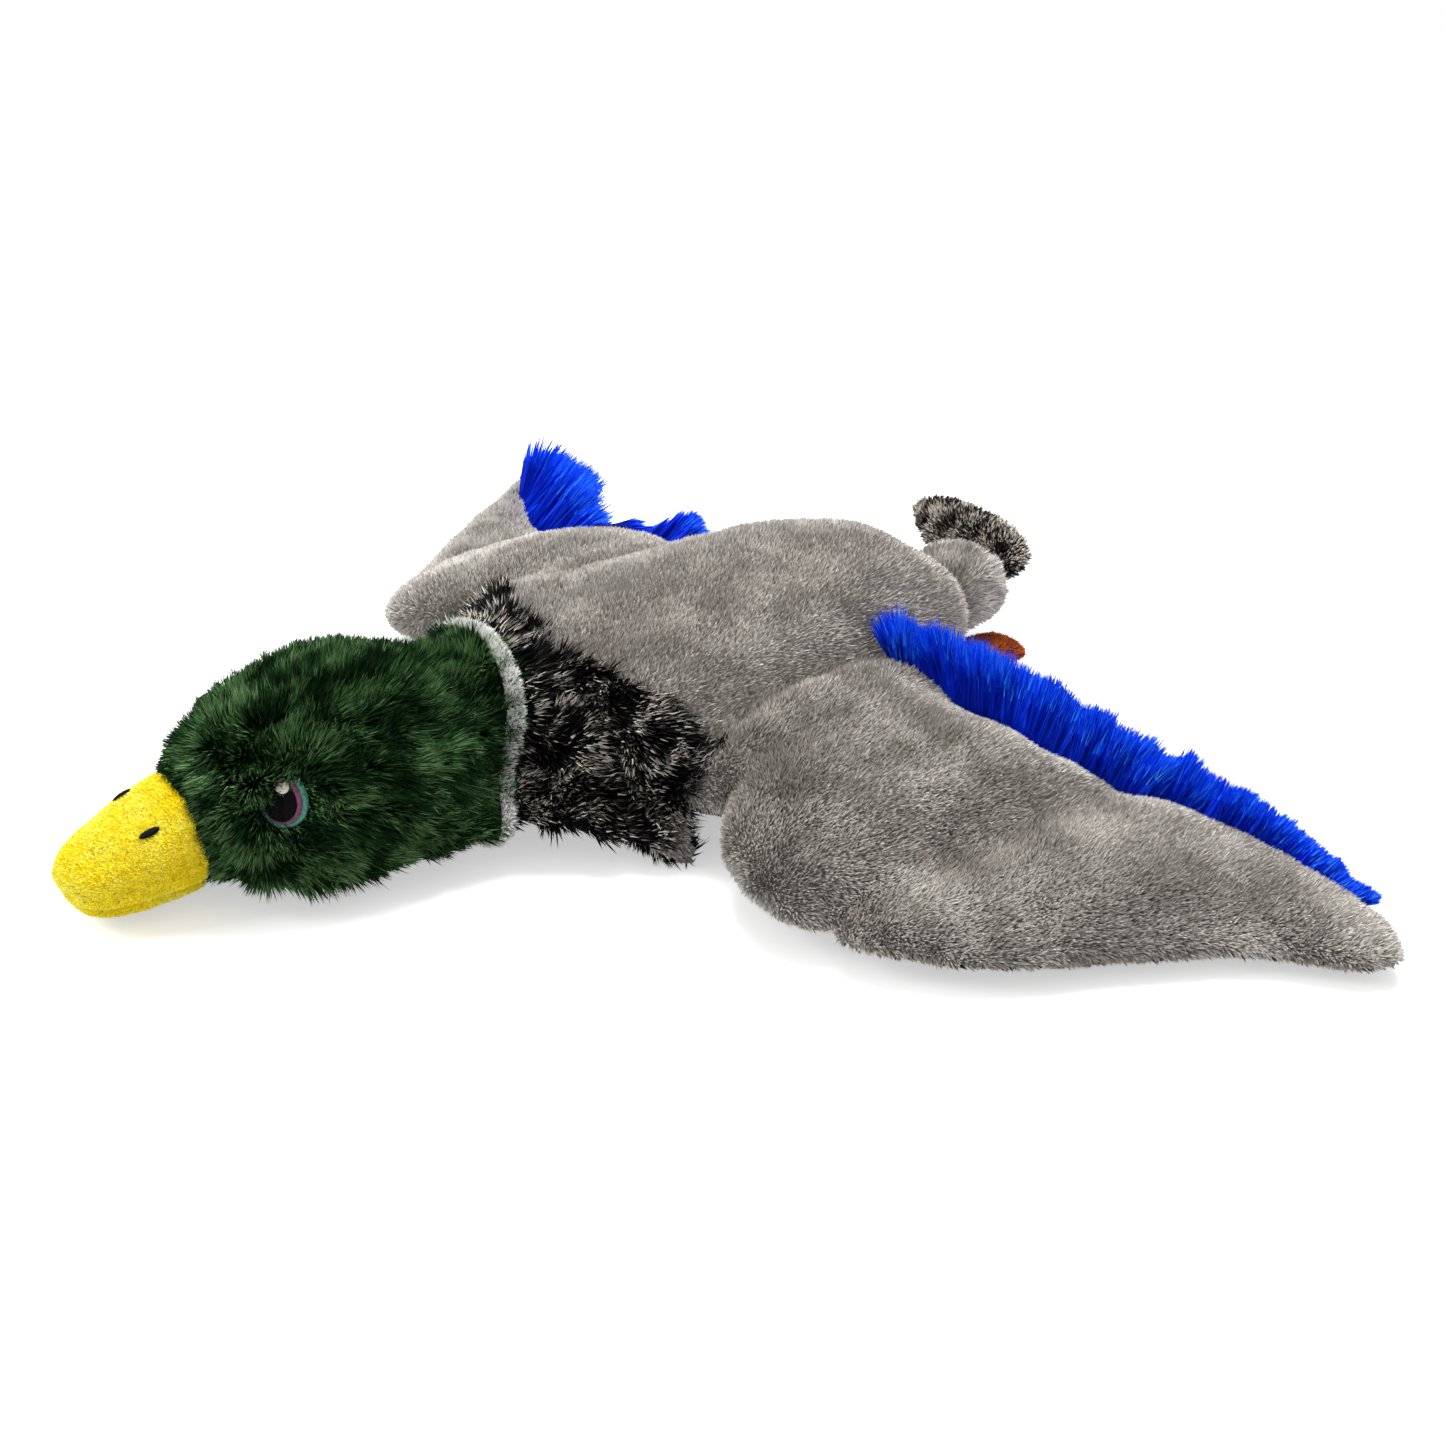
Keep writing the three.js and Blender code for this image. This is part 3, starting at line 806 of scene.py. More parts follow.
        patch.inputs["Detail"].default_value = 3.0
        self._link(place, patch.inputs["Vector"])
        self._link(given["Patch Scale"], patch.inputs["Scale"])
        centred = self._maths("SUBTRACT", patch.outputs["Fac"], 0.5)
        patched = self._maths("MULTIPLY", centred, given["Patchiness"])
        value = self._maths("ADD", patched, self._random(0.0, 1.0, 37))
        above_low = self._maths("GREATER_THAN", value, given["Low Shade"])
        above_high = self._maths("GREATER_THAN", value, given["High Shade"])
        shade = self._maths("ADD", above_low, above_high)
        store = self._node("GeometryNodeStoreNamedAttribute", data_type="INT", domain="INSTANCE")
        store.inputs["Name"].default_value = "shade"
        self._link(plant.outputs[0], store.inputs["Geometry"])
        self._link(shade, next(s for s in store.inputs if s.enabled and s.name == "Value"))
        realize = self._node("GeometryNodeRealizeInstances")
        self._link(store.outputs[0], realize.inputs[0])
        code = self._maths("ADD", self._maths("MULTIPLY", self._attribute("shade", "INT"), 2),
                           self._attribute("segment", "INT"))
        flow = realize.outputs[0]
        for index, name in enumerate(self.SLOTS):
            paint = self._node("GeometryNodeSetMaterial")
            pick = self._maths("COMPARE", code, index)
            pick.node.inputs[2].default_value = 0.25
            self._link(flow, paint.inputs["Geometry"])
            self._link(pick, paint.inputs["Selection"])
            self._link(given[name], paint.inputs["Material"])
            flow = paint.outputs[0]
        self._link(flow, self._node("NodeGroupOutput").inputs[0])

    def grow(self, base: bpy.types.Object, name: str, coat: Coat, strands: dict) -> bpy.types.Object:
        """Grows a coat on a panel and freezes it as a plain mesh.

        Args:
            base: the panel, with the attributes cover, comb and pile.
            name: the new object's name.
            coat: how the pile grows.
            strands: the strand objects by shape.

        Returns:
            The fur, a mesh of its own.
        """
        most = MOST_TRIANGLES // coat.strand.triangles
        count = min(coat.count, most) * 1.0
        carrier = new_object("carrier", base.data)
        modifier = carrier.modifiers.new("pile", "NODES")
        modifier.node_group = self.tree
        values = {
            "Strand": strands[coat.strand], "Seed": coat.seed,
            "Density": count / max(covered_area(base.data), 1e-9),
            "Width": coat.width, "Lift": coat.lift, "Swirl": coat.swirl,
            "Swirl Scale": 1 / coat.swirl_size, "Clump": coat.clump,
            "Clump Scale": 1 / coat.clump_size, "Jitter": coat.jitter,
            "Patch Scale": 1 / coat.patch_size, "Patchiness": coat.patchiness,
            "Low Shade": coat.shades[0], "High Shade": coat.shades[1],
            **dict(zip(self.SLOTS, coat.finish.materials())),
        }
        for item in self.tree.interface.items_tree:
            if item.in_out == "INPUT" and item.name in values:
                modifier[item.identifier] = values[item.name]
        mesh = evaluated(carrier)
        bpy.data.objects.remove(carrier)
        for attribute in [a.name for a in mesh.attributes if a.name in ("shade", "segment")]:
            mesh.attributes.remove(mesh.attributes[attribute])
        mesh.name = name
        tips = points_of(mesh)
        tips[:, 2] = np.maximum(tips[:, 2], FLOOR_CLEAR)
        move_points(mesh, tips)
        LOG.info("%s: %d faces", name, len(mesh.polygons))
        return new_object(name, mesh)


def covered_area(mesh: bpy.types.Mesh) -> float:
    """Adds up a panel's area where the pile grows.

    Args:
        mesh: a panel with the attribute cover.

    Returns:
        The area, in square metres.
    """
    cover = np.empty(len(mesh.vertices), np.float32)
    mesh.attributes["cover"].data.foreach_get("value", cover)
    return sum(p.area * float(cover[list(p.vertices)].mean()) for p in mesh.polygons)


def comb_mesh(mesh: bpy.types.Mesh, comb: Array, pile: Array, cover: Optional[Array] = None) -> None:
    """Stores how the pile lies on a mesh.

    Args:
        mesh: the mesh.
        comb: the direction that the pile is combed in, a row for each vertex.
        pile: its length at each vertex, in metres.
        cover: the share of it that grows at each vertex.
    """
    count = len(mesh.vertices)
    grows = np.ones(count) if cover is None else cover
    for name, kind, key, values in (
        ("comb", "FLOAT_VECTOR", "vector", comb), ("pile", "FLOAT", "value", pile),
        ("cover", "FLOAT", "value", grows),
    ):
        attribute = mesh.attributes.new(name, kind, "POINT")
        attribute.data.foreach_set(key, np.asarray(values, np.float32).ravel())


# ---------------------------------------------------------------------------- the soft skin

HIPS = (98 * MM, 120 * MM)
ROOT_TURN = (97.5 * MM, 132 * MM)
FOLD_TURN = (203 * MM, 234 * MM)
WAIST = (-136 * MM, -168 * MM)
NAPE = (-193 * MM, -222 * MM)
WINGS = ("left_wing", "left_wingtip", "right_wing", "right_wingtip")
SHELL_NODES = (
    "back_panel", "belly_panel", "chest_upper_panel", "chest_lower_panel", "head_crown_panel",
    "head_chin_panel", *(f"{wing}_{half}_panel" for wing in WINGS for half in ("upper", "lower")),
    "tail_upper_panel", "tail_lower_panel", "body_filling_upper", "body_filling_lower",
    "chest_filling", "head_filling_upper", "head_filling_lower",
    *(f"{wing}_filling" for wing in WINGS), "tail_filling", "body_squeaker_dome",
    "head_squeaker_dome",
)
RING_TOP_Y = -0.1635
RING_LOW_Y = -0.1975
RING_TOP_Z = 0.069
RING_MIDDLE_Z = 0.034
SHOULDER_Y = -0.14
SHOULDER_REACH = 0.118
EYE_PLACE = (0.054, -0.275, 0.0525)
NOSTRIL_PLACE = (0.0195, -0.319, 0.0414)
WING_PILE = 4 * MM


@dataclass(frozen=True)
class Plug:
    """An ellipsoid that closes the gap between two panels at a joint, in metres."""

    joint: str
    centre: tuple[float, float, float]
    radii: tuple[float, float, float]


JOINT_PLUGS = (
    Plug("neck", (0, -0.150, 0.036), (0.070, 0.034, 0.029)),
    Plug("nape", (0, -0.185, 0.037), (0.047, 0.026, 0.028)),
    Plug("left_root", (0.089, -0.047, 0.030), (0.043, 0.086, 0.025)),
    Plug("right_root", (-0.092, -0.045, 0.030), (0.038, 0.080, 0.024)),
    Plug("left_fold", (0.196, -0.034, 0.014), (0.016, 0.078, 0.0095)),
    Plug("right_fold", (-0.196, -0.063, 0.014), (0.016, 0.054, 0.0095)),
    Plug("rump", (0, 0.098, 0.033), (0.027, 0.020, 0.014)),
)


class Region(Enum):
    """Where a face of the skin belongs."""

    TORSO = "torso"
    CHEST = "chest"
    HEAD = "head"
    TAIL = "tail"
    LEFT_INNER = "left_wing"
    LEFT_OUTER = "left_wingtip"
    RIGHT_INNER = "right_wing"
    RIGHT_OUTER = "right_wingtip"


class Skin:
    """The whole plush skin before it is cut into panels."""

    def __init__(self) -> None:
        """Unites the CAD panels, swells them and gives them seams and lumps."""
        points, faces = copy_of_nodes(SHELL_NODES)
        for plug in JOINT_PLUGS:
            more, sides = ellipsoid(Vector(plug.centre), Vector(plug.radii))
            faces += [[v + len(points) for v in side] for side in sides]
            points = np.concatenate((points, more))
            LOG.info("added a plug at the %s", plug.joint)
        base = remeshed(points, faces, VOXEL)
        base = relaxed(base, 3)
        move_points(base, swollen(base))
        base = relaxed(base, 2, subdivide=1)
        self.mesh = base
        self._shape()

    def _shape(self) -> None:
        """Adds the seams, dents and lumps, and lets the fur bulge towards the floor."""
        points, normals = points_of(self.mesh), normals_of(self.mesh)
        up = np.clip(normals[:, 2], 0, 1)
        top = smooth_step(points[:, 2], 0.012, 0.03)
        shift = normals * (self._lumps(points) * top)[:, None]
        shift[:, 2] -= self._creases(points) * up
        side = smooth_step(0.040 - points[:, 2], 0.0, 0.030)
        moved = self._flared(points + shift, points[:, 1], side)
        moved = self._wings_filled(moved, up, top)
        moved[:, 2] = np.maximum(moved[:, 2], SKIN_CLEAR)
        move_points(self.mesh, moved)

    @staticmethod
    def _lumps(points: Array) -> Array:
        """Works out how unevenly the filling lies.

        Args:
            points: the skin's vertices.

        Returns:
            How far each one stands out.
        """
        x, y, _ = points.T
        lumps = 1.5 * MM * soft_noise(points, 0.034, 3.1) + 0.9 * MM * soft_noise(points, 0.015, 9.7)
        front = (np.abs(x) <= 0.1) & (y <= -0.15)
        lumps = lumps * np.where(front, 1.3, 1.0)
        head = smooth_step(-y, 0.19, 0.21)
        lumps += head * 1.9 * MM * soft_noise(points, 0.0095, 21.3)
        rump = smooth_step(y, 0.092, 0.105)
        return lumps + rump * 2.4 * MM * soft_noise(points, 0.011, 14.1)

    @staticmethod
    def _creases(points: Array) -> Array:
        """Works out how deep the creases at the wing roots and wing folds are.

        Args:
            points: the skin's vertices.

        Returns:
            The depth at each one.
        """
        reach, y = np.abs(points[:, 0]), points[:, 1]
        crease = np.interp(y, [-0.125, -0.061, 0.005, 0.03], [0.096, 0.081, 0.063, 0.060])
        ends = smooth_step(y, -0.135, -0.1) * smooth_step(-y, -0.03, 0.0)
        root = np.exp(-(((reach - crease) / CREASE_WIDTH) ** 2)) * ends
        fold = np.exp(-(((reach - FOLD_TURN[0]) / CREASE_WIDTH) ** 2))
        return 5.5 * MM * root + 2.2 * MM * fold

    @staticmethod
    def _flared(points: Array, along: Array, side: Array) -> Array:
        """Widens the head and the chest where their long fur spreads on the floor.

        Args:
            points: the skin's vertices.
            along: their places along the duck before they moved.
            side: how low each one lies, from 0 to 1.

        Returns:
            The moved vertices.
        """
        flare = np.interp(
            along, [-0.30, -0.285, -0.262, -0.23, -0.205, -0.19, -0.175, -0.15, -0.125],
            [0.0, 0.049, 0.055, 0.058, 0.063, 0.072, 0.083, 0.096, 0.106],
        )
        reach = np.abs(points[:, 0])
        forward = (along < -0.12) & (along > -0.30)
        want = np.where(forward & (reach > 0.030), np.maximum(flare, reach), reach)
        moved = points.copy()
        widened = reach + (want - reach) * side * smooth_step(reach, 0.028, 0.048)
        moved[:, 0] = np.sign(points[:, 0]) * widened
        return moved

    @staticmethod
    def _wings_filled(points: Array, up: Array, top: Array) -> Array:
        """Rounds the left wing out, and its front edge and tip, more than the CAD does.

        Args:
            points: the skin's vertices.
            up: how far each one faces up, from 0 to 1.
            top: how far it lies above the floor, from 0 to 1.

        Returns:
            The moved vertices.
        """
        moved = points.copy()
        left = smooth_step(moved[:, 0], 0.115, 0.165)
        tip = smooth_step(moved[:, 0], 0.255, 0.318)
        back_edge = smooth_step(moved[:, 1], -0.06, 0.01)
        moved[:, 2] += left * (1 - tip) * up * top * (3.0 + 4.0 * back_edge) * MM
        front_edge = smooth_step(-moved[:, 1], 0.045, 0.085)
        inner = smooth_step(moved[:, 0], 0.10, 0.14) * smooth_step(-moved[:, 0], -0.23, -0.19)
        full = 7.0 + 5.0 * inner
        moved[:, 1] -= full * MM * smooth_step(moved[:, 0], 0.095, 0.13) * front_edge
        moved[:, 2] += tip * up * 4.0 * MM
        moved[:, 0] += 9.0 * MM * tip
        return moved

    @staticmethod
    def region_of(x: Array, y: Array, z: Array) -> Array:
        """Names the part of the body each point lies on.

        Args:
            x: places across.
            y: places along.
            z: heights.

        Returns:
            An array of Region values' names.
        """
        reach = np.abs(x)
        waist = -0.138 + 0.40 * np.maximum(0.0, reach - 0.02)
        region = np.full(len(x), Region.TORSO.name, dtype=object)
        region[y < waist] = Region.CHEST.name
        region[y < RING_LOW_Y + (RING_TOP_Y - RING_LOW_Y) * z / RING_TOP_Z] = Region.HEAD.name
        region[y > HIPS[0]] = Region.TAIL.name
        wing = (reach > ROOT_TURN[0]) & ((y > SHOULDER_Y) | (reach > SHOULDER_REACH))
        region[wing & (x > 0)] = Region.LEFT_INNER.name
        region[wing & (x < 0)] = Region.RIGHT_INNER.name
        region[(reach > FOLD_TURN[0]) & (x > 0)] = Region.LEFT_OUTER.name
        region[(reach > FOLD_TURN[0]) & (x < 0)] = Region.RIGHT_OUTER.name
        return region

    def panel(self, name: str, pick: Callable[[Array, Array], Array]) -> bpy.types.Mesh:
        """Cuts the faces of one panel out of the skin.

        Args:
            name: the panel's name.
            pick: tells from face regions and normals which faces to keep.

        Returns:
            The panel.
        """
        mesh = self.mesh
        count = len(mesh.polygons)
        centres = np.empty(count * 3)
        mesh.polygons.foreach_get("center", centres)
        normals = np.empty(count * 3)
        mesh.polygons.foreach_get("normal", normals)
        centres, normals = centres.reshape(-1, 3), normals.reshape(-1, 3)
        keep = pick(self.region_of(*centres.T), normals)
        points = points_of(mesh)
        faces = [list(mesh.polygons[int(i)].vertices) for i in np.nonzero(keep)[0]]
        used = sorted({v for face in faces for v in face})
        number = {v: n for n, v in enumerate(used)}
        made = mesh_from(name, points[used], [[number[v] for v in face] for face in faces])
        attribute = made.attributes.new("skin_normal", "FLOAT_VECTOR", "POINT")
        attribute.data.foreach_set("vector", normals_of(mesh)[used].astype(np.float32).ravel())
        return made


# ---------------------------------------------------------------------------- dressing


class Wardrobe:
    """Grows coats and hangs the finished pieces on their bodies."""

    def __init__(self) -> None:
        """Makes the strands and the pile tree."""
        self.tree = PileTree()
        self.strands = {shape: shape.build() for shape in Strand}

    def settle(self, piece: bpy.types.Object, rest: "Rest") -> None:
        """Hangs a finished piece on its body, or blends it between two bodies, and hides the CAD nodes it
        stands for.

        Args:
            piece: the object.
            rest: what it stands for and what it rides on.
        """
        if rest.blend:
            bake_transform(piece, *rest.blend)
        else:
            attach(piece, rest.body)
        if rest.nodes:
            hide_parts(*rest.nodes)

    def dress(self, mesh: bpy.types.Mesh, cloth: ClothFinish, coat: Coat, rest: "Rest") -> None:
        """Makes a panel of a mesh, grows its coat, and settles both on the same joint.

        Args:
            mesh: the panel's mesh, with the attributes of comb_mesh.
            cloth: its backing.
            coat: the pile.
            rest: what the panel stands for and rides on.
        """
        panel = finished(mesh, cloth)
        for layer in range(coat.layers):
            seeded = replace(coat, seed=coat.seed + LAYER_SEED_STEP * layer)
            fur = self.tree.grow(panel, f"{panel.name}_pile_{layer + 1}", seeded, self.strands)
            self.settle(fur, Rest(rest.slot, rest.body, blend=rest.blend))
        for name in ("comb", "pile", "cover"):
            mesh.attributes.remove(mesh.attributes[name])
        self.settle(panel, rest)


@dataclass(frozen=True)
class Rest:
    """What a piece stands for, and what it rides on."""

    slot: str
    body: str = "torso"
    nodes: tuple[str, ...] = ()
    blend: Optional[tuple] = None
    fill: float = 0.0


def finished(mesh: bpy.types.Mesh, cloth: ClothFinish) -> bpy.types.Object:
    """Makes an object of a mesh and gives it its cloth.

    Args:
        mesh: the mesh.
        cloth: its finish.

    Returns:
        The object.
    """
    made = new_object(mesh.name, mesh)
    mesh.materials.clear()
    mesh.materials.append(cloth.material())
    return made


def inset(mesh: bpy.types.Mesh, depth: Array, normals: Array) -> None:
    """Sinks a skin below the tips of its fur.

    Args:
        mesh: the skin.
        depth: how far at each vertex.
        normals: a row for each vertex.
    """
    points = points_of(mesh) - normals * depth[:, None]
    points[:, 2] = np.maximum(points[:, 2], CLOTH_CLEAR)
    move_points(mesh, points)


def skin_normals(mesh: bpy.types.Mesh) -> Array:
    """Reads the normals that a panel had on the whole skin.

    Args:
        mesh: a panel from Skin.panel.

    Returns:
        A row for each vertex.
    """
    flat = np.empty(len(mesh.vertices) * 3, np.float32)
    mesh.attributes["skin_normal"].data.foreach_get("vector", flat)
    return flat.reshape(-1, 3).astype(np.float64)


def unit(rows: Array) -> Array:
    """Scales each row to length 1.

    Args:
        rows: vectors.

    Returns:
        Unit vectors.
    """
    return rows / np.maximum(np.linalg.norm(rows, axis=1, keepdims=True), 1e-9)


def along_skin(direction: Array, normals: Array) -> Array:
    """Lays directions flat on the skin.

    Args:
        direction: vectors to lay down.
        normals: the skin's normals.

    Returns:
        Unit vectors square to the normals.
    """
    flat = direction - normals * (direction * normals).sum(axis=1, keepdims=True)
    return unit(flat)


def turn_across(first: str, second: str, span: tuple[float, float], y: float, z: float) -> tuple:
    """Says how a skin passes from one body to the next across the duck.

    Args:
        first: the body nearer the middle.
        second: the body farther out.
        span: where along X the change starts and ends.
        y: the turn's place along the duck.
        z: its height.
    """
    return first, second, (span[0], y, z), (span[1], y, z)


def turn_along(first: str, second: str, span: tuple[float, float], z: float) -> tuple:
    """Says how a skin passes from one body to the next along the duck.

    Args:
        first: the body nearer the middle.
        second: the body farther out.
        span: where along Y the change starts and ends.
        z: the turn's height.
    """
    return first, second, (0, span[0], z), (0, span[1], z)


FOLD_LEFT = turn_across("left_wing", "left_wing_tip", FOLD_TURN, -0.03, 0.014)
FOLD_RIGHT = turn_across(
    "right_wing", "right_wing_tip", (-FOLD_TURN[0], -FOLD_TURN[1]), -0.03, 0.014
)
ROOT_LEFT = turn_across("torso", "left_wing", ROOT_TURN, -0.041, 0.03)
ROOT_RIGHT = turn_across("torso", "right_wing", (-ROOT_TURN[0], -ROOT_TURN[1]), -0.041, 0.03)
NECK_TURN = turn_along("torso", "neck", WAIST, 0.036)
HEAD_TURN = turn_along("neck", "head", NAPE, 0.036)
TAIL_TURN = turn_along("torso", "tail", HIPS, 0.032)


@dataclass(frozen=True)
class PeltPlan:
    """One sewn panel: where it lies, what it stands for and how its fur grows."""

    name: str
    region: Region
    rest: Rest
    cloth: ClothFinish
    coat: Coat
    pile: float
    comb: tuple[float, float, float]
    half: int = 0
    sink: float = 2.0 * MM
    seam: float = -0.5

    def faces(self, regions: Array, normals: Array) -> Array:
        """Picks the panel's faces from the skin.

        Args:
            regions: each face's region name.
            normals: face normals.

        Returns:
            Which faces belong to the panel.
        """
        inside = regions == self.region.name
        if self.half:
            inside &= (normals[:, 2] > self.seam) == (self.half > 0)
        return inside


class Pelts:
    """All the fur-covered panels of the duck."""

    def __init__(self, skin: Skin, wardrobe: Wardrobe) -> None:
        """Keeps the skin and the wardrobe.

        Args:
            skin: the whole skin.
            wardrobe: grows the coats.
        """
        self.skin = skin
        self.wardrobe = wardrobe

    def plans(self) -> list[PeltPlan]:
        """Lists the panels.

        Returns:
            A plan for each one.
        """
        grey = Coat(GREY_PILE, 51_000, 0.75 * MM, lift=1.3, swirl=1.2, swirl_size=36 * MM, clump=1.0,
                    clump_size=7 * MM, patch_size=34 * MM, patchiness=3.0, shades=(0.34, 0.70))
        under = Coat(MOTTLED_PILE, 9_000, 1.2 * MM, lift=0.8, swirl=0.8, clump=0.9,
                     patch_size=12 * MM, shades=(0.35, 0.7), seed=5)
        plans = [
            PeltPlan("head_pelt", Region.HEAD, Rest("green_plush", nodes=(
                "head_crown_panel", "head_chin_panel"), blend=HEAD_TURN, fill=0.75),
                GREEN_CLOTH, Coat(GREEN_PILE, 48_000, 0.85 * MM, lift=0.75, swirl=1.3,
                                  swirl_size=30 * MM, clump=2.5, clump_size=10 * MM,
                                  jitter=0.18, patch_size=14 * MM, patchiness=4.6,
                                  shades=(0.44, 0.82), seed=2, layers=2),
                12 * MM, (0.0, 0.55, -0.16), sink=4.5 * MM),
            PeltPlan("chest_pelt", Region.CHEST, Rest("black_fur", nodes=(
                "chest_upper_panel", "chest_lower_panel"), blend=NECK_TURN, fill=0.65),
                BLACK_CLOTH, Coat(BLACK_PILE, 20_000, 0.9 * MM, lift=0.55, swirl=1.2, swirl_size=34 * MM,
                                  clump=2.1, clump_size=12 * MM, jitter=0.2, patch_size=9 * MM,
                                  patchiness=4.0, shades=(0.56, 0.86), strand=Strand.LONG, seed=3,
                                  layers=2),
                14 * MM, (0.0, 0.6, -0.3), sink=5 * MM),
            PeltPlan("back_pelt", Region.TORSO, Rest("grey_plush", body="torso", nodes=(
                "back_panel",), fill=0.8), GREY_CLOTH, grey, 4 * MM, (0.0, 0.5, 0.0), half=1),
            PeltPlan("belly_pelt", Region.TORSO, Rest("mottled_plush", body="torso", nodes=(
                "belly_panel",), fill=0.8), MOTTLED_CLOTH, under, 3 * MM, (0.0, 0.5, 0.0), half=-1),
            PeltPlan("rump_pelt", Region.TAIL, Rest("grey_plush", nodes=(
                "tail_upper_panel", "tail_lower_panel"), blend=TAIL_TURN, fill=0.7),
                GREY_CLOTH, Coat(GREY_PILE, 9_000, 1.0 * MM, lift=0.8, swirl=0.8, clump=0.8,
                                 shades=(0.3, 0.7), seed=8), 6 * MM, (0.0, 0.7, 0.1)),
        ]
        sparse = replace(grey, count=22_000, width=0.95 * MM)
        for side, comb, root, fold, seam, upper in (
            ("left", (0.55, 0.45, -0.1), ROOT_LEFT, FOLD_LEFT, -0.6, grey),
            ("right", (-0.55, 0.45, -0.1), ROOT_RIGHT, FOLD_RIGHT, -0.88, sparse),
        ):
            inner, outer = Region[f"{side.upper()}_INNER"], Region[f"{side.upper()}_OUTER"]
            for half, part, slot_name, cloth, coat in (
                (1, "upper", "grey_plush", GREY_CLOTH, upper),
                (-1, "lower", "mottled_plush", MOTTLED_CLOTH, under),
            ):
                plans.append(PeltPlan(
                    f"{side}_wing_{part}_pelt", inner,
                    Rest(slot_name, nodes=(f"{side}_wing_{part}_panel",), blend=root, fill=0.6),
                    cloth, coat, WING_PILE, comb, half=half, seam=seam))
                plans.append(PeltPlan(
                    f"{side}_wingtip_{part}_pelt", outer,
                    Rest(slot_name, nodes=(f"{side}_wingtip_{part}_panel",), blend=fold, fill=0.5),
                    cloth, coat, WING_PILE, comb, half=half, seam=seam))
        return plans

    def build(self) -> None:
        """Cuts, sinks and coats every panel."""
        for plan in self.plans():
            mesh = self.skin.panel(plan.name, plan.faces)
            normals = skin_normals(mesh)
            points = points_of(mesh)
            pile, cover, comb = self._nap(plan, points, normals)
            inset(mesh, np.full(len(points), plan.sink), normals)
            mesh.attributes.remove(mesh.attributes["skin_normal"])
            comb_mesh(mesh, along_skin(comb, normals) * np.linalg.norm(plan.comb), pile, cover)
            self.wardrobe.dress(mesh, plan.cloth, plan.coat, plan.rest)

    @staticmethod
    def _nap(plan: PeltPlan, points: Array, normals: Array) -> tuple[Array, Array, Array]:
        """Works out the fur's length, cover and lie over a panel.

        Args:
            plan: the panel's plan.
            points: its vertices.
            normals: its normals.

        Returns:
            Length, cover and comb direction at each vertex.
        """
        x, y, _ = points.T
        pile = np.full(len(points), plan.pile)
        cover = np.ones(len(points))
        comb = np.tile(np.array(plan.comb), (len(points), 1))
        grounded = smooth_step(-normals[:, 2], 0.55, 0.9)
        pile *= 1 - 0.6 * grounded
        cover *= 1 - 0.75 * grounded
        if plan.name == "head_pelt":
            eye = np.minimum(
                np.linalg.norm(points - np.array(EYE_PLACE), axis=1),
                np.linalg.norm(points - np.array(EYE_PLACE) * (-1, 1, 1), axis=1),
            )
            pile *= 0.25 + 0.75 * smooth_step(eye, 0.010, 0.020)
            cover *= smooth_step(eye, 0.0085, 0.0115)
            face = smooth_step(-y, 0.270, 0.302)
            pile *= 1 - 0.25 * face
            comb[:, 0] += 0.35 * np.sign(x) * (1 - face)
            comb[:, 1] -= 1.1 * face
        if plan.name == "chest_pelt":
            comb[:, 0] += 0.35 * np.sign(x) * smooth_step(np.abs(x), 0.0, 0.03)
        if plan.name in ("back_pelt", "belly_pelt"):
            comb[:, 0] += 0.25 * np.sign(x)
        return pile, cover, comb


# ---------------------------------------------------------------------------- bill, feet, tail, ring


@dataclass(frozen=True)
class PlushPart:
    """A small padded part: made from CAD nodes, softened, then coated."""

    name: str
    nodes: tuple[str, ...]
    with_nodes: tuple[str, ...]
    rest: Rest
    cloth: ClothFinish
    coat: Coat
    pile: float
    comb: tuple[float, float, float]
    voxel: float = 3 * MM
    rounds: int = 3
    shape: Optional[Callable[[Array, Array], Array]] = None

    def build(self, wardrobe: Wardrobe) -> None:
        """Makes the part and its coat.

        Args:
            wardrobe: grows the coat.
        """
        points, faces = copy_of_nodes(self.nodes + self.with_nodes)
        mesh = relaxed(remeshed(points, faces, self.voxel), self.rounds, subdivide=1)
        mesh.name = self.name
        normals = normals_of(mesh)
        if self.shape:
            move_points(mesh, self.shape(points_of(mesh), normals))
            normals = normals_of(mesh)
        pile = np.full(len(normals), self.pile)
        inset(mesh, pile * 0.45, normals)
        comb = along_skin(np.tile(np.array(self.comb), (len(normals), 1)), normals)
        comb_mesh(mesh, comb * np.linalg.norm(self.comb), pile)
        wardrobe.dress(mesh, self.cloth, self.coat, self.rest)


def shape_bill(points: Array, normals: Array) -> Array:
    """Gives the bill its dimples, side seam and smile.

    Args:
        points: its vertices.
        normals: its normals.

    Returns:
        The moved vertices.
    """
    x, y, z = points.T
    seam_height = 0.0125 + 0.004 * smooth_step(y, -0.345, -0.31)
    seam = np.exp(-(((z - seam_height) / 0.0020) ** 2)) * smooth_step(np.abs(normals[:, 2]), 0.95, 0.7)
    dimple = np.exp(-(((x - 0.008) / 0.009) ** 2) - ((y + 0.342) / 0.005) ** 2) * (normals[:, 2] > 0)
    lump = 0.7 * MM * soft_noise(points, 0.016, 4.4)
    moved = points + normals * (lump - 1.9 * MM * seam - 1.3 * MM * dimple)[:, None]
    base = smooth_step(y, -0.345, -0.306)
    moved[:, 0] *= 1 + 0.14 * base
    moved[:, 1] += 3.5 * MM * (1 - base) + 5.0 * MM * base
    return moved


def shape_foot(points: Array, normals: Array) -> Array:
    """Draws the foot's heel under the belly, where it is sewn on.

    Args:
        points: its vertices.
        normals: its normals.

    Returns:
        The moved vertices.
    """
    heel = smooth_step(-points[:, 1], -0.112, -0.094)
    moved = points.copy()
    moved[:, 1] -= 30.0 * MM * heel
    moved[:, 0] += np.where(points[:, 0] < 0, 12.0, -2.0) * MM * heel
    moved[:, 2] += 1.5 * MM * (1 - heel) * np.clip(normals[:, 2], 0, 1)
    return moved


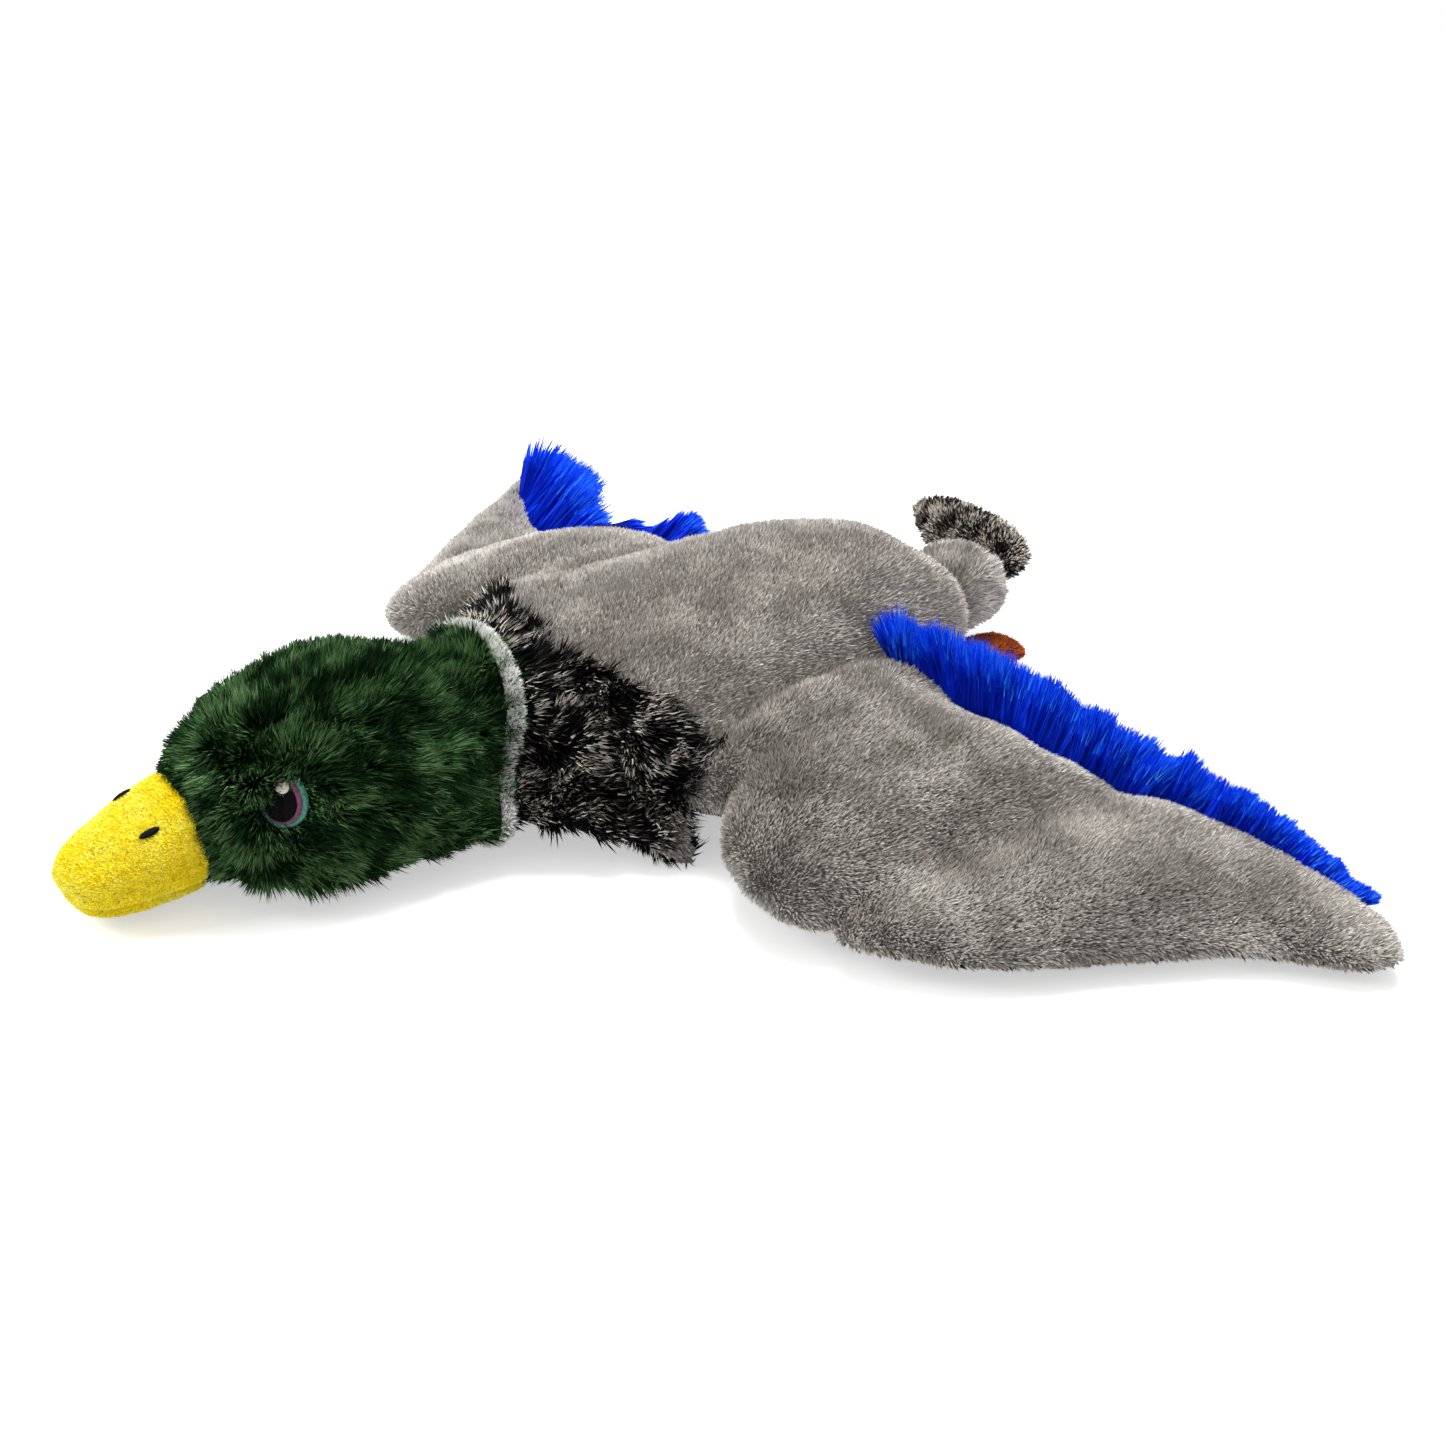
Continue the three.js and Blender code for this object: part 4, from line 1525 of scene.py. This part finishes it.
def small_parts() -> list[PlushPart]:
    """Lists the small padded parts.

    Returns:
        The bill, the tail fan and the feet.
    """
    nap = Coat(YELLOW_PILE, 27_000, 0.85 * MM, lift=1.1, swirl=0.5, clump=0.7, clump_size=4 * MM,
               patch_size=14 * MM, patchiness=2.0, shades=(0.36, 0.72), seed=12)
    fan = Coat(MOTTLED_PILE, 12_000, 1.1 * MM, lift=0.75, swirl=0.6, clump=1.1, clump_size=7 * MM,
               jitter=0.3, patch_size=8 * MM, patchiness=3.2, shades=(0.34, 0.62),
               strand=Strand.LONG, seed=14)
    foot = Coat(ORANGE_PILE, 9_000, 0.8 * MM, lift=0.8, swirl=0.5, clump=0.8, clump_size=5 * MM,
                patch_size=12 * MM, shades=(0.36, 0.7), seed=16)
    parts = [
        PlushPart("bill_pelt", ("bill_upper_panel", "bill_lower_panel"), ("bill_filling",),
                  Rest("yellow_plush", body="head", nodes=("bill_upper_panel", "bill_lower_panel"),
                       fill=0.7), YELLOW_CLOTH, nap, 1.6 * MM, (0.0, -0.5, 0.0), voxel=2.5 * MM,
                  shape=shape_bill),
        PlushPart("tail_fan_pelt", ("tail_fan",), (), Rest("mottled_fur", body="tail",
                  nodes=("tail_fan",), fill=0.5), MOTTLED_CLOTH, fan, 8 * MM, (0.0, 0.7, 0.25)),
    ]
    for side in ("left", "right"):
        parts.append(PlushPart(
            f"foot_{side}_pelt", (f"foot_{side}",), (), Rest("orange_plush", body=f"{side}_foot",
            nodes=(f"foot_{side}",), fill=0.5), ORANGE_CLOTH, foot, 3 * MM, (0.0, 0.5, -0.1),
            voxel=2.5 * MM, rounds=2, shape=shape_foot))
    return parts


@dataclass(frozen=True)
class NeckRing:
    """The tilted white band of fur between head and chest."""

    half_width: float = 2.4 * MM
    top_y: float = RING_TOP_Y
    low_y: float = RING_LOW_Y
    top_z: float = RING_TOP_Z
    pile: float = 3.6 * MM
    clear: float = 0.8 * MM

    def build(self, skin: Skin, wardrobe: Wardrobe) -> None:
        """Lays the band on the skin and grows its coat.

        Args:
            skin: the skin under it.
            wardrobe: grows the coat.
        """
        steps, across = 96, 6
        points, faces = [], []
        carrier = new_object("ring_guide", skin.mesh.copy())
        bpy.context.view_layer.update()
        slope = (self.top_y - self.low_y) / self.top_z
        for step in range(steps):
            turn = 2 * math.pi * step / steps
            for lane in range(across + 1):
                share = lane / across * 2 - 1
                middle_y = self.low_y + slope * RING_MIDDLE_Z
                start = Vector((0, middle_y + share * self.half_width, RING_MIDDLE_Z))
                way = Vector((math.cos(turn), slope * math.sin(turn), math.sin(turn))).normalized()
                found, place, *_ = carrier.ray_cast(start + way * 0.2, -way, distance=0.2)
                spot = place if found else start + way * 0.04
                spot = spot + way * (1.6 * MM * (1 - share * share) + 0.6 * MM)
                points.append((spot.x, spot.y, max(spot.z, self.clear)))
        bpy.data.objects.remove(carrier)
        lanes = across + 1
        for step in range(steps):
            after = (step + 1) % steps
            for lane in range(across):
                a, b = step * lanes + lane, after * lanes + lane
                faces.append((a, b, b + 1, a + 1))
        mesh = mesh_from("neck_ring_pelt", np.array(points), faces)
        normals = normals_of(mesh)
        outward = np.array(points) * (1, 0, 1) - (0, 0, 0.035)
        if (normals * outward).sum() < 0:
            mesh.flip_normals()
            normals = -normals
        rest = Rest("white_plush", body="neck", nodes=("neck_ring",), fill=0.5)
        comb = along_skin(np.tile(np.array((0.0, 0.6, 0.0)), (len(normals), 1)), normals) * 0.5
        comb_mesh(mesh, comb, np.full(len(normals), self.pile))
        coat = Coat(WHITE_PILE, 9_000, 0.9 * MM, lift=1.0, swirl=0.4, clump=0.7, clump_size=6 * MM,
                    jitter=0.3, shades=(0.3, 0.6), seed=21)
        wardrobe.dress(mesh, WHITE_CLOTH, coat, rest)


# ---------------------------------------------------------------------------- blue fringe


@dataclass(frozen=True)
class Fringe:
    """Blue tufts along the back edge of one wing segment."""

    node: str
    rest: Rest
    count: int
    roots: tuple[tuple[float, float, float], ...]
    tips: tuple[tuple[float, float, float], ...]
    depth: float = 12 * MM

    def build(self, wardrobe: Wardrobe) -> None:
        """Makes the sewn strip and its tufts.

        Args:
            wardrobe: grows the coat.
        """
        roots, tips = np.array(self.roots) * MM, np.array(self.tips) * MM
        steps = 60
        share = np.linspace(0, 1, steps)
        knots = np.linspace(0, 1, len(roots))
        root = np.stack([np.interp(share, knots, roots[:, axis]) for axis in range(3)], axis=1)
        tip = np.stack([np.interp(share, knots, tips[:, axis]) for axis in range(3)], axis=1)
        reach = tip - root
        length = np.linalg.norm(reach, axis=1)
        aim = reach / length[:, None]
        ahead = unit(np.gradient(root, axis=0))
        rise = unit(np.cross(ahead, aim))
        rise *= np.sign(rise[:, 2:3] + 1e-9)
        lanes = 5
        points, combs, piles = [], [], []
        for lane in range(lanes):
            place = lane / (lanes - 1)
            back = root - aim * self.depth * (1 - place) + rise * 3.0 * MM * math.sin(math.pi * place)
            back -= rise * (2.0 * MM * place)
            points += list(back)
            combs += list(aim + rise * (0.22 - 0.3 * place))
            tuft = 0.86 + 0.30 * soft_noise(root + lane * 0.004, 0.008, 5.5)
            piles += list((length + self.depth * (1 - place) * 0.75) * (0.95 - 0.1 * (1 - place)) * tuft)
        faces = []
        for lane in range(lanes - 1):
            for step in range(steps - 1):
                a = lane * steps + step
                faces.append((a, a + 1, a + 1 + steps, a + steps))
        mesh = mesh_from(f"{self.node}_strip", np.array(points), faces)
        if normals_of(mesh)[:, 2].mean() < 0:
            mesh.flip_normals()
        comb_mesh(mesh, np.array(combs), np.array(piles))
        coat = Coat(BLUE_PILE, self.count, 0.95 * MM, lift=0.10, swirl=0.7, swirl_size=24 * MM,
                    clump=1.2, clump_size=9 * MM, jitter=0.14, patch_size=9 * MM, patchiness=2.4,
                    shades=(0.36, 0.76), strand=Strand.LONG, seed=31)
        wardrobe.dress(mesh, BLUE_CLOTH, coat, self.rest)


def fringes() -> list[Fringe]:
    """Lists the four fringes.

    Returns:
        One for each wing segment.
    """
    return [
        Fringe("left_wing_fringe", Rest("blue_fringe", blend=ROOT_LEFT, nodes=("left_wing_fringe",)),
               16_000,
               ((76, 10, 50), (104, 19, 47), (130, 28, 42), (160, 37, 32), (201, 47, 23)),
               ((64, 15, 73), (88, 31, 65), (118, 46, 60), (155, 57, 50), (198, 68, 38))),
        Fringe("left_wingtip_fringe", Rest("blue_fringe", blend=FOLD_LEFT,
               nodes=("left_wingtip_fringe",)), 10_000,
               ((201, 48, 23), (230, 62, 19), (255, 70, 15), (275, 71, 12), (292, 69, 10)),
               ((198, 70, 38), (228, 80, 32), (257, 83, 21), (278, 82, 16), (296, 77, 12))),
        Fringe("right_wing_fringe", Rest("blue_fringe", blend=ROOT_RIGHT, nodes=("right_wing_fringe",)),
               9_000,
               ((-106, 17, 44), (-130, 16, 42), (-154, 13, 38), (-178, 7, 31), (-201, 0, 24)),
               ((-106, 40, 42), (-130, 44, 49), (-154, 28, 26), (-178, 20, 19), (-201, 18, 19))),
        Fringe("right_wingtip_fringe", Rest("blue_fringe", blend=FOLD_RIGHT,
               nodes=("right_wingtip_fringe",)), 10_000,
               ((-201, 0, 24), (-226, -6, 24), (-252, -1, 29), (-276, 9, 32), (-296, 20, 30)),
               ((-206, 28, 26), (-226, 42, 42), (-252, 46, 50), (-277, 46, 46), (-300, 36, 36))),
    ]


# ---------------------------------------------------------------------------- embroidery


@dataclass(frozen=True)
class Patch:
    """A flat oval in an embroidery's own plane, in metres."""

    across: float
    up: float
    half_across: float
    half_up: float

    def rim(self, turn: float) -> Array:
        """Finds a point of the rim.

        Args:
            turn: an angle, from the first axis towards the second.

        Returns:
            The point's two coordinates.
        """
        return np.array((self.across + self.half_across * math.cos(turn),
                         self.up + self.half_up * math.sin(turn)))


class Hoop:
    """A place on a soft surface where thread is sewn."""

    CELLS = 4
    CELL = 2.4 * MM

    def __init__(
        self, surface: bpy.types.Object, centre: Vector, outward: Vector, first: Vector
    ) -> None:
        """Fits a smooth base under the embroidery.

        Args:
            surface: the piece it is sewn on.
            centre: the middle of the embroidery.
            outward: roughly the surface's normal there.
            first: the first axis of the embroidery's plane.
        """
        self.normal = outward.normalized()
        self.first = (first - self.normal * first.dot(self.normal)).normalized()
        self.second = self.normal.cross(self.first)
        self.centre = centre
        rows, heights = [], []
        for row in range(-self.CELLS, self.CELLS + 1):
            for column in range(-self.CELLS, self.CELLS + 1):
                u, v = row * self.CELL, column * self.CELL
                start = centre + self.first * u + self.second * v + self.normal * 0.03
                found, place, *_ = surface.ray_cast(start, -self.normal, distance=0.08)
                if found:
                    rows.append((1, u, v, u * u, u * v, v * v))
                    heights.append((place - centre).dot(self.normal))
        self.fit = np.linalg.lstsq(np.array(rows), np.array(heights), rcond=None)[0]

    def place(self, u: float, v: float, above: float) -> Vector:
        """Turns plane coordinates into a point above the fitted surface.

        Args:
            u: along the first axis.
            v: along the second axis.
            above: height over the surface.

        Returns:
            The point.
        """
        base = float(np.dot(self.fit, (1, u, v, u * u, u * v, v * v)))
        return self.centre + self.first * u + self.second * v + self.normal * (base + above)


class Thread:
    """Collects stitches into one mesh."""

    THICKNESS = 0.46 * MM

    def __init__(self, hoop: Hoop, height: float) -> None:
        """Starts an empty embroidery.

        Args:
            hoop: where it is sewn.
            height: how far its stitches stand over the surface.
        """
        self.hoop = hoop
        self.height = height
        self.points: list[Vector] = []
        self.faces: list[tuple[int, ...]] = []

    def stitch(self, start: Array, end: Array, arch: float) -> None:
        """Sews one stitch, a thin arched strand between two points of the plane.

        Args:
            start: its first end.
            end: its second end.
            arch: how far its middle rises.
        """
        cuts = 5
        along = np.array(end) - np.array(start)
        length = float(np.linalg.norm(along))
        side = np.array((-along[1], along[0])) / max(length, 1e-9) * self.THICKNESS / 2
        first = len(self.points)
        for cut in range(cuts):
            share = cut / (cuts - 1)
            middle = np.array(start) + along * share
            lift = self.height + arch * (1 - (2 * share - 1) ** 2)
            thick = self.THICKNESS * (0.35 if cut in (0, cuts - 1) else 1.0)
            for offset, rise in ((-1, 0.0), (0, 0.55), (1, 0.0), (0, -1.4)):
                spot = middle + side * offset
                self.points.append(self.hoop.place(spot[0], spot[1], lift + rise * thick))
        for cut in range(cuts - 1):
            for corner in range(4):
                a = first + cut * 4 + corner
                b = first + cut * 4 + (corner + 1) % 4
                self.faces.append((a, b, b + 4, a + 4))
        self.faces.append((first + 3, first + 2, first + 1, first))
        last = first + 4 * (cuts - 1)
        self.faces.append((last, last + 1, last + 2, last + 3))

    def band(self, outer: Patch, inner: Patch, turns: tuple[float, float], arch: float) -> None:
        """Fills the ring between two ovals with stitches across it.

        Args:
            outer: the outer oval.
            inner: the inner oval.
            turns: where the ring starts and ends.
            arch: how far the stitches rise.
        """
        low, high = turns
        size = (outer.half_across + outer.half_up) / 2
        count = int(abs(high - low) * size / (self.THICKNESS * 0.78))
        for index in range(count):
            turn = low + (high - low) * index / count
            wobble = 0.12 * MM * math.sin(index * 2.4)
            outside, inside = outer.rim(turn), inner.rim(turn)
            away = (outside - inside) / max(float(np.linalg.norm(outside - inside)), 1e-9)
            self.stitch(inside - away * 0.15 * MM, outside + away * wobble, arch)

    def fill(self, shape: Patch, slant: float, arch: float) -> None:
        """Fills an oval with stitches side by side.

        Args:
            shape: the oval.
            slant: the stitches' direction.
            arch: how far they rise.
        """
        way = np.array((math.cos(slant), math.sin(slant)))
        across = np.array((-way[1], way[0]))
        middle = np.array((shape.across, shape.up))
        extent = math.hypot(shape.half_across * across[0], shape.half_up * across[1])
        count = max(3, int(2 * extent / (self.THICKNESS * 0.78)))
        for index in range(count):
            offset = (index + 0.5) / count * 2 - 1
            reach = math.hypot(shape.half_across * way[0], shape.half_up * way[1])
            half = reach * math.sqrt(max(0.0, 1 - offset * offset))
            spot = middle + across * offset * extent
            if half < 0.4 * MM:
                continue
            dome = arch * (1 - offset * offset)
            if half > 3 * MM:
                shift = way * 0.5 * MM * math.sin(index * 1.9)
                self.stitch(spot - way * half, spot + shift, dome)
                self.stitch(spot + shift, spot + way * half, dome)
            else:
                self.stitch(spot - way * half, spot + way * half, dome)

    def finish(self, name: str, cloth: ClothFinish, node: str, wardrobe: Wardrobe) -> None:
        """Makes the embroidery's object.

        Args:
            name: its name.
            cloth: the thread's finish.
            node: the CAD node it stands for.
            wardrobe: settles it.
        """
        mesh = mesh_from(name, np.array(self.points), self.faces)
        wardrobe.settle(finished(mesh, cloth), Rest(cloth.name, body="head", nodes=(node,)))


@dataclass(frozen=True)
class Eye:
    """An embroidered eye: teal ring, purple iris, black pupil, cream glint, black shade."""

    name: str
    side: int
    ring: Patch = Patch(0, 0, 9.2 * MM, 12.0 * MM)
    iris: Patch = Patch(-0.5 * MM, -0.4 * MM, 7.5 * MM, 9.8 * MM)
    pupil: Patch = Patch(-1.4 * MM, -0.9 * MM, 6.3 * MM, 8.1 * MM)
    glint: Patch = Patch(0.2 * MM, 5.0 * MM, 2.7 * MM, 3.0 * MM)
    shade: Patch = Patch(1.2 * MM, -1.8 * MM, 8.8 * MM, 12.0 * MM)

    def build(self, head: bpy.types.Object, wardrobe: Wardrobe) -> None:
        """Sews the eye.

        Args:
            head: the pelt it is sewn on.
            wardrobe: settles the threads.
        """
        place = Vector(EYE_PLACE)
        place.x *= self.side
        turn = math.radians(14)
        outward = Vector((self.side * math.cos(turn), -math.sin(turn), 0.12))
        hoop = Hoop(head, place, outward, Vector((0, 1, 0)))
        if hoop.second.z < 0:
            hoop.second.negate()
        ring, iris, pupil, glint = (Thread(hoop, lift * MM) for lift in (1.6, 1.5, 1.4, 2.5))
        whole = (0.0, 2 * math.pi)
        ring.band(self.ring, self.iris, whole, 0.7 * MM)
        iris.band(self.iris, self.pupil, whole, 0.5 * MM)
        pupil.fill(self.pupil, 0.0, 0.8 * MM)
        pupil.height = 1.1 * MM
        pupil.band(self.shade, self.ring, (math.radians(-112), math.radians(-8)), 0.3 * MM)
        glint.fill(self.glint, 0.9, 0.6 * MM)
        for thread_part, part, cloth in (
            (ring, "ring", TEAL_THREAD), (iris, "iris", PURPLE_THREAD),
            (pupil, "pupil", BLACK_THREAD), (glint, "glint", CREAM_THREAD),
        ):
            name = f"eye_{self.name}_{part}"
            thread_part.finish(f"{name}_thread", cloth, name, wardrobe)


@dataclass(frozen=True)
class Nostril:
    """A short black satin-stitched dash on the bill."""

    name: str
    side: int
    shape: Patch = Patch(0, 0, 4.3 * MM, 1.5 * MM)

    def build(self, bill: bpy.types.Object, wardrobe: Wardrobe) -> None:
        """Sews the nostril.

        Args:
            bill: the piece it is sewn on.
            wardrobe: settles the thread.
        """
        place = Vector(NOSTRIL_PLACE)
        place.x *= self.side
        outward = Vector((self.side * 0.55, -0.25, 0.8))
        hoop = Hoop(bill, place, outward, Vector((-self.side * 0.1, 1.0, 0.35)))
        stitches = Thread(hoop, 1.7 * MM)
        stitches.fill(self.shape, math.radians(75), 0.6 * MM)
        stitches.finish(f"nostril_{self.name}_thread", BLACK_THREAD, f"nostril_{self.name}", wardrobe)


# ---------------------------------------------------------------------------- inside


def gathered(points: Array, scale: tuple[float, float], shift: float = 0.0) -> Array:
    """Draws a piece in from its panels' seams.

    Args:
        points: its vertices.
        scale: across and along.
        shift: how far it moves towards the tail.

    Returns:
        The moved vertices.
    """
    middle = points.mean(axis=0)
    moved = middle + (points - middle) * (*scale, 1.0)
    moved[:, 1] += shift
    return moved


@dataclass(frozen=True)
class Stuffing:
    """A lump of loose fibre inside a panel."""

    node: str
    body: str
    fill: float = 0.8
    slack: float = 3.0 * MM
    scale: tuple[float, float] = (0.8, 0.8)
    shift: float = 0.0

    def build(self, wardrobe: Wardrobe) -> None:
        """Makes the lump.

        Args:
            wardrobe: settles it.
        """
        points, faces = copy_of_nodes((self.node,))
        mesh = relaxed(remeshed(points, faces, 4 * MM), 4)
        mesh.name = f"{self.node}_fibre"
        moved = points_of(mesh) - normals_of(mesh) * (
            self.slack + 0.8 * MM * soft_noise(points_of(mesh), 0.009, 7.7))[:, None]
        moved = gathered(moved, self.scale, self.shift)
        moved[:, 2] = np.maximum(moved[:, 2], 4 * MM)
        move_points(mesh, moved)
        rest = Rest("fibre_filling", body=self.body, nodes=(self.node,), fill=self.fill)
        wardrobe.settle(finished(mesh, FIBRE), rest)


@dataclass(frozen=True)
class Film:
    """A crackling film in a wing, crumpled a little."""

    node: str
    body: str
    scale: tuple[float, float] = (0.5, 0.5)

    def build(self, wardrobe: Wardrobe) -> None:
        """Makes the film.

        Args:
            wardrobe: settles it.
        """
        points, faces = copy_of_nodes((self.node,))
        carrier = new_object("film", mesh_from(f"{self.node}_crumpled", points, faces))
        finer = carrier.modifiers.new("finer", "SUBSURF")
        finer.subdivision_type = "SIMPLE"
        finer.levels = finer.render_levels = 2
        mesh = evaluated(carrier)
        bpy.data.objects.remove(carrier)
        mesh.name = f"{self.node}_crumpled"
        points = gathered(points_of(mesh), self.scale)
        flat = points * (1, 1, 0)
        points[:, 2] += 0.35 * MM * soft_noise(flat, 0.011, 2.2)
        move_points(mesh, points)
        mesh.polygons.foreach_set("use_smooth", [False] * len(mesh.polygons))
        wardrobe.settle(finished(mesh, FILM), Rest("crinkle_film", body=self.body, nodes=(self.node,)))


def dress_inside(wardrobe: Wardrobe) -> None:
    """Makes the fillings and films, and colours the squeakers.

    Args:
        wardrobe: settles the pieces.
    """
    for prefix in WINGS:
        body = prefix.replace("wingtip", "wing_tip")
        Stuffing(f"{prefix}_filling", body, 0.5, 4.5 * MM, (0.55, 0.55)).build(wardrobe)
        Film(f"{prefix}_film", body).build(wardrobe)
    for name, body, slack, scale, shift in (
        ("body_filling_upper", "torso", 4.0, (0.86, 0.80), 0.0),
        ("body_filling_lower", "torso", 4.0, (0.86, 0.80), 0.0),
        ("chest_filling", "neck", 8.0, (0.85, 0.55), -15.0),
        ("head_filling_upper", "head", 6.0, (0.90, 0.62), -14.0),
        ("head_filling_lower", "head", 6.0, (0.90, 0.62), -14.0),
        ("bill_filling", "head", 3.0, (0.9, 0.9), 0.0),
        ("tail_filling", "tail", 4.0, (0.8, 0.55), 10.0),
    ):
        Stuffing(name, body, 0.8, slack * MM, scale, shift * MM).build(wardrobe)
    shell, reed = SHELL_PLASTIC.material(), REED_PLASTIC.material()
    for prefix in ("body", "head"):
        for part, material in (("cup", shell), ("dome", shell), ("reed", reed)):
            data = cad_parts[f"{prefix}_squeaker_{part}"].data
            data.materials.clear()
            data.materials.append(material)


# ---------------------------------------------------------------------------- studio


@dataclass(frozen=True)
class Lamp:
    """A soft rectangular light that looks at the duck."""

    name: str
    place: tuple[float, float, float]
    size: float
    power: float
    colour: Colour = (1.0, 1.0, 1.0)

    def build(self) -> None:
        """Adds the light."""
        data = bpy.data.lights.new(self.name, "AREA")
        data.shape = "SQUARE"
        data.size = self.size
        data.energy = self.power
        data.color = self.colour
        lamp = bpy.data.objects.new(self.name, data)
        lamp.location = self.place
        lamp.rotation_euler = (-Vector(self.place)).to_track_quat("-Z", "Y").to_euler()
        bpy.context.scene.collection.objects.link(lamp)


@dataclass(frozen=True)
class Studio:
    """Floor, light and camera."""

    eye: tuple[float, float, float] = (0.59263, -0.44432, 0.36742)
    target: tuple[float, float, float] = (0.0527, -0.0718, 0.030)
    lens: float = 40.70
    lamps: tuple[Lamp, ...] = (
        Lamp("key", (-0.40, 0.40, 1.25), 1.0, 40.0),
        Lamp("front", (-0.30, -0.85, 0.55), 0.4, 3.0),
    )
    ambient: float = 0.55
    floor_half: float = 8.0
    floor_tone: float = 0.93
    floor_glow: float = 0.50

    def build(self) -> None:
        """Sets the studio up."""
        scene = bpy.context.scene
        half = self.floor_half
        corners = np.array(((-half, -half, 0), (half, -half, 0), (half, half, 0), (-half, half, 0)))
        floor = new_object("studio_floor", mesh_from("studio_floor", corners, ((0, 1, 2, 3),)))
        white = bpy.data.materials.new("studio_floor")
        white.use_nodes = True
        shader = white.node_tree.nodes["Principled BSDF"]
        shader.inputs["Base Color"].default_value = rgba((self.floor_tone,) * 3)
        shader.inputs["Roughness"].default_value = 0.9
        rays = white.node_tree.nodes.new("ShaderNodeLightPath")
        glow = white.node_tree.nodes.new("ShaderNodeMath")
        glow.operation = "MULTIPLY"
        glow.inputs[1].default_value = self.floor_glow
        white.node_tree.links.new(rays.outputs["Is Camera Ray"], glow.inputs[0])
        shader.inputs["Emission Color"].default_value = (1, 1, 1, 1)
        white.node_tree.links.new(glow.outputs[0], shader.inputs["Emission Strength"])
        floor.data.materials.append(white)
        world = bpy.data.worlds.new("studio")
        world.use_nodes = True
        nodes, links = world.node_tree.nodes, world.node_tree.links
        nodes["Background"].inputs["Color"].default_value = (1, 1, 1, 1)
        rays = nodes.new("ShaderNodeLightPath")
        strength = nodes.new("ShaderNodeMapRange")
        strength.inputs["To Min"].default_value = self.ambient
        strength.inputs["To Max"].default_value = 1.0
        links.new(rays.outputs["Is Camera Ray"], strength.inputs["Value"])
        links.new(strength.outputs["Result"], nodes["Background"].inputs["Strength"])
        scene.world = world
        scene.view_settings.view_transform = "Standard"
        for lamp in self.lamps:
            lamp.build()
        data = bpy.data.cameras.new("photo_view")
        data.lens = self.lens
        data.sensor_width = 36
        data.clip_start = 0.01
        camera = bpy.data.objects.new("photo_view", data)
        camera.location = self.eye
        aim = Vector(self.target) - Vector(self.eye)
        camera.rotation_euler = aim.to_track_quat("-Z", "Y").to_euler()
        scene.collection.objects.link(camera)
        scene.camera = camera


# ---------------------------------------------------------------------------- the duck


class Duck:
    """The whole plush duck."""

    def __init__(self) -> None:
        """Prepares the wardrobe and the skin."""
        self.wardrobe = Wardrobe()
        self.skin = Skin()

    def dress(self) -> None:
        """Builds every visible and hidden piece."""
        Pelts(self.skin, self.wardrobe).build()
        for part in small_parts():
            part.build(self.wardrobe)
        NeckRing().build(self.skin, self.wardrobe)
        for fringe in fringes():
            fringe.build(self.wardrobe)
        head, bill = bpy.data.objects["head_pelt"], bpy.data.objects["bill_pelt"]
        bpy.context.view_layer.update()
        for name, side in (("left", 1), ("right", -1)):
            Eye(name, side).build(head, self.wardrobe)
            Nostril(name, side).build(bill, self.wardrobe)
        dress_inside(self.wardrobe)
        for strand in self.wardrobe.strands.values():
            bpy.data.objects.remove(strand)


def main() -> None:
    """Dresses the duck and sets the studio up."""
    logging.basicConfig(level=logging.INFO)
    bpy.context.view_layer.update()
    Studio().build()
    Duck().dress()


if __name__ == "__main__":
    main()
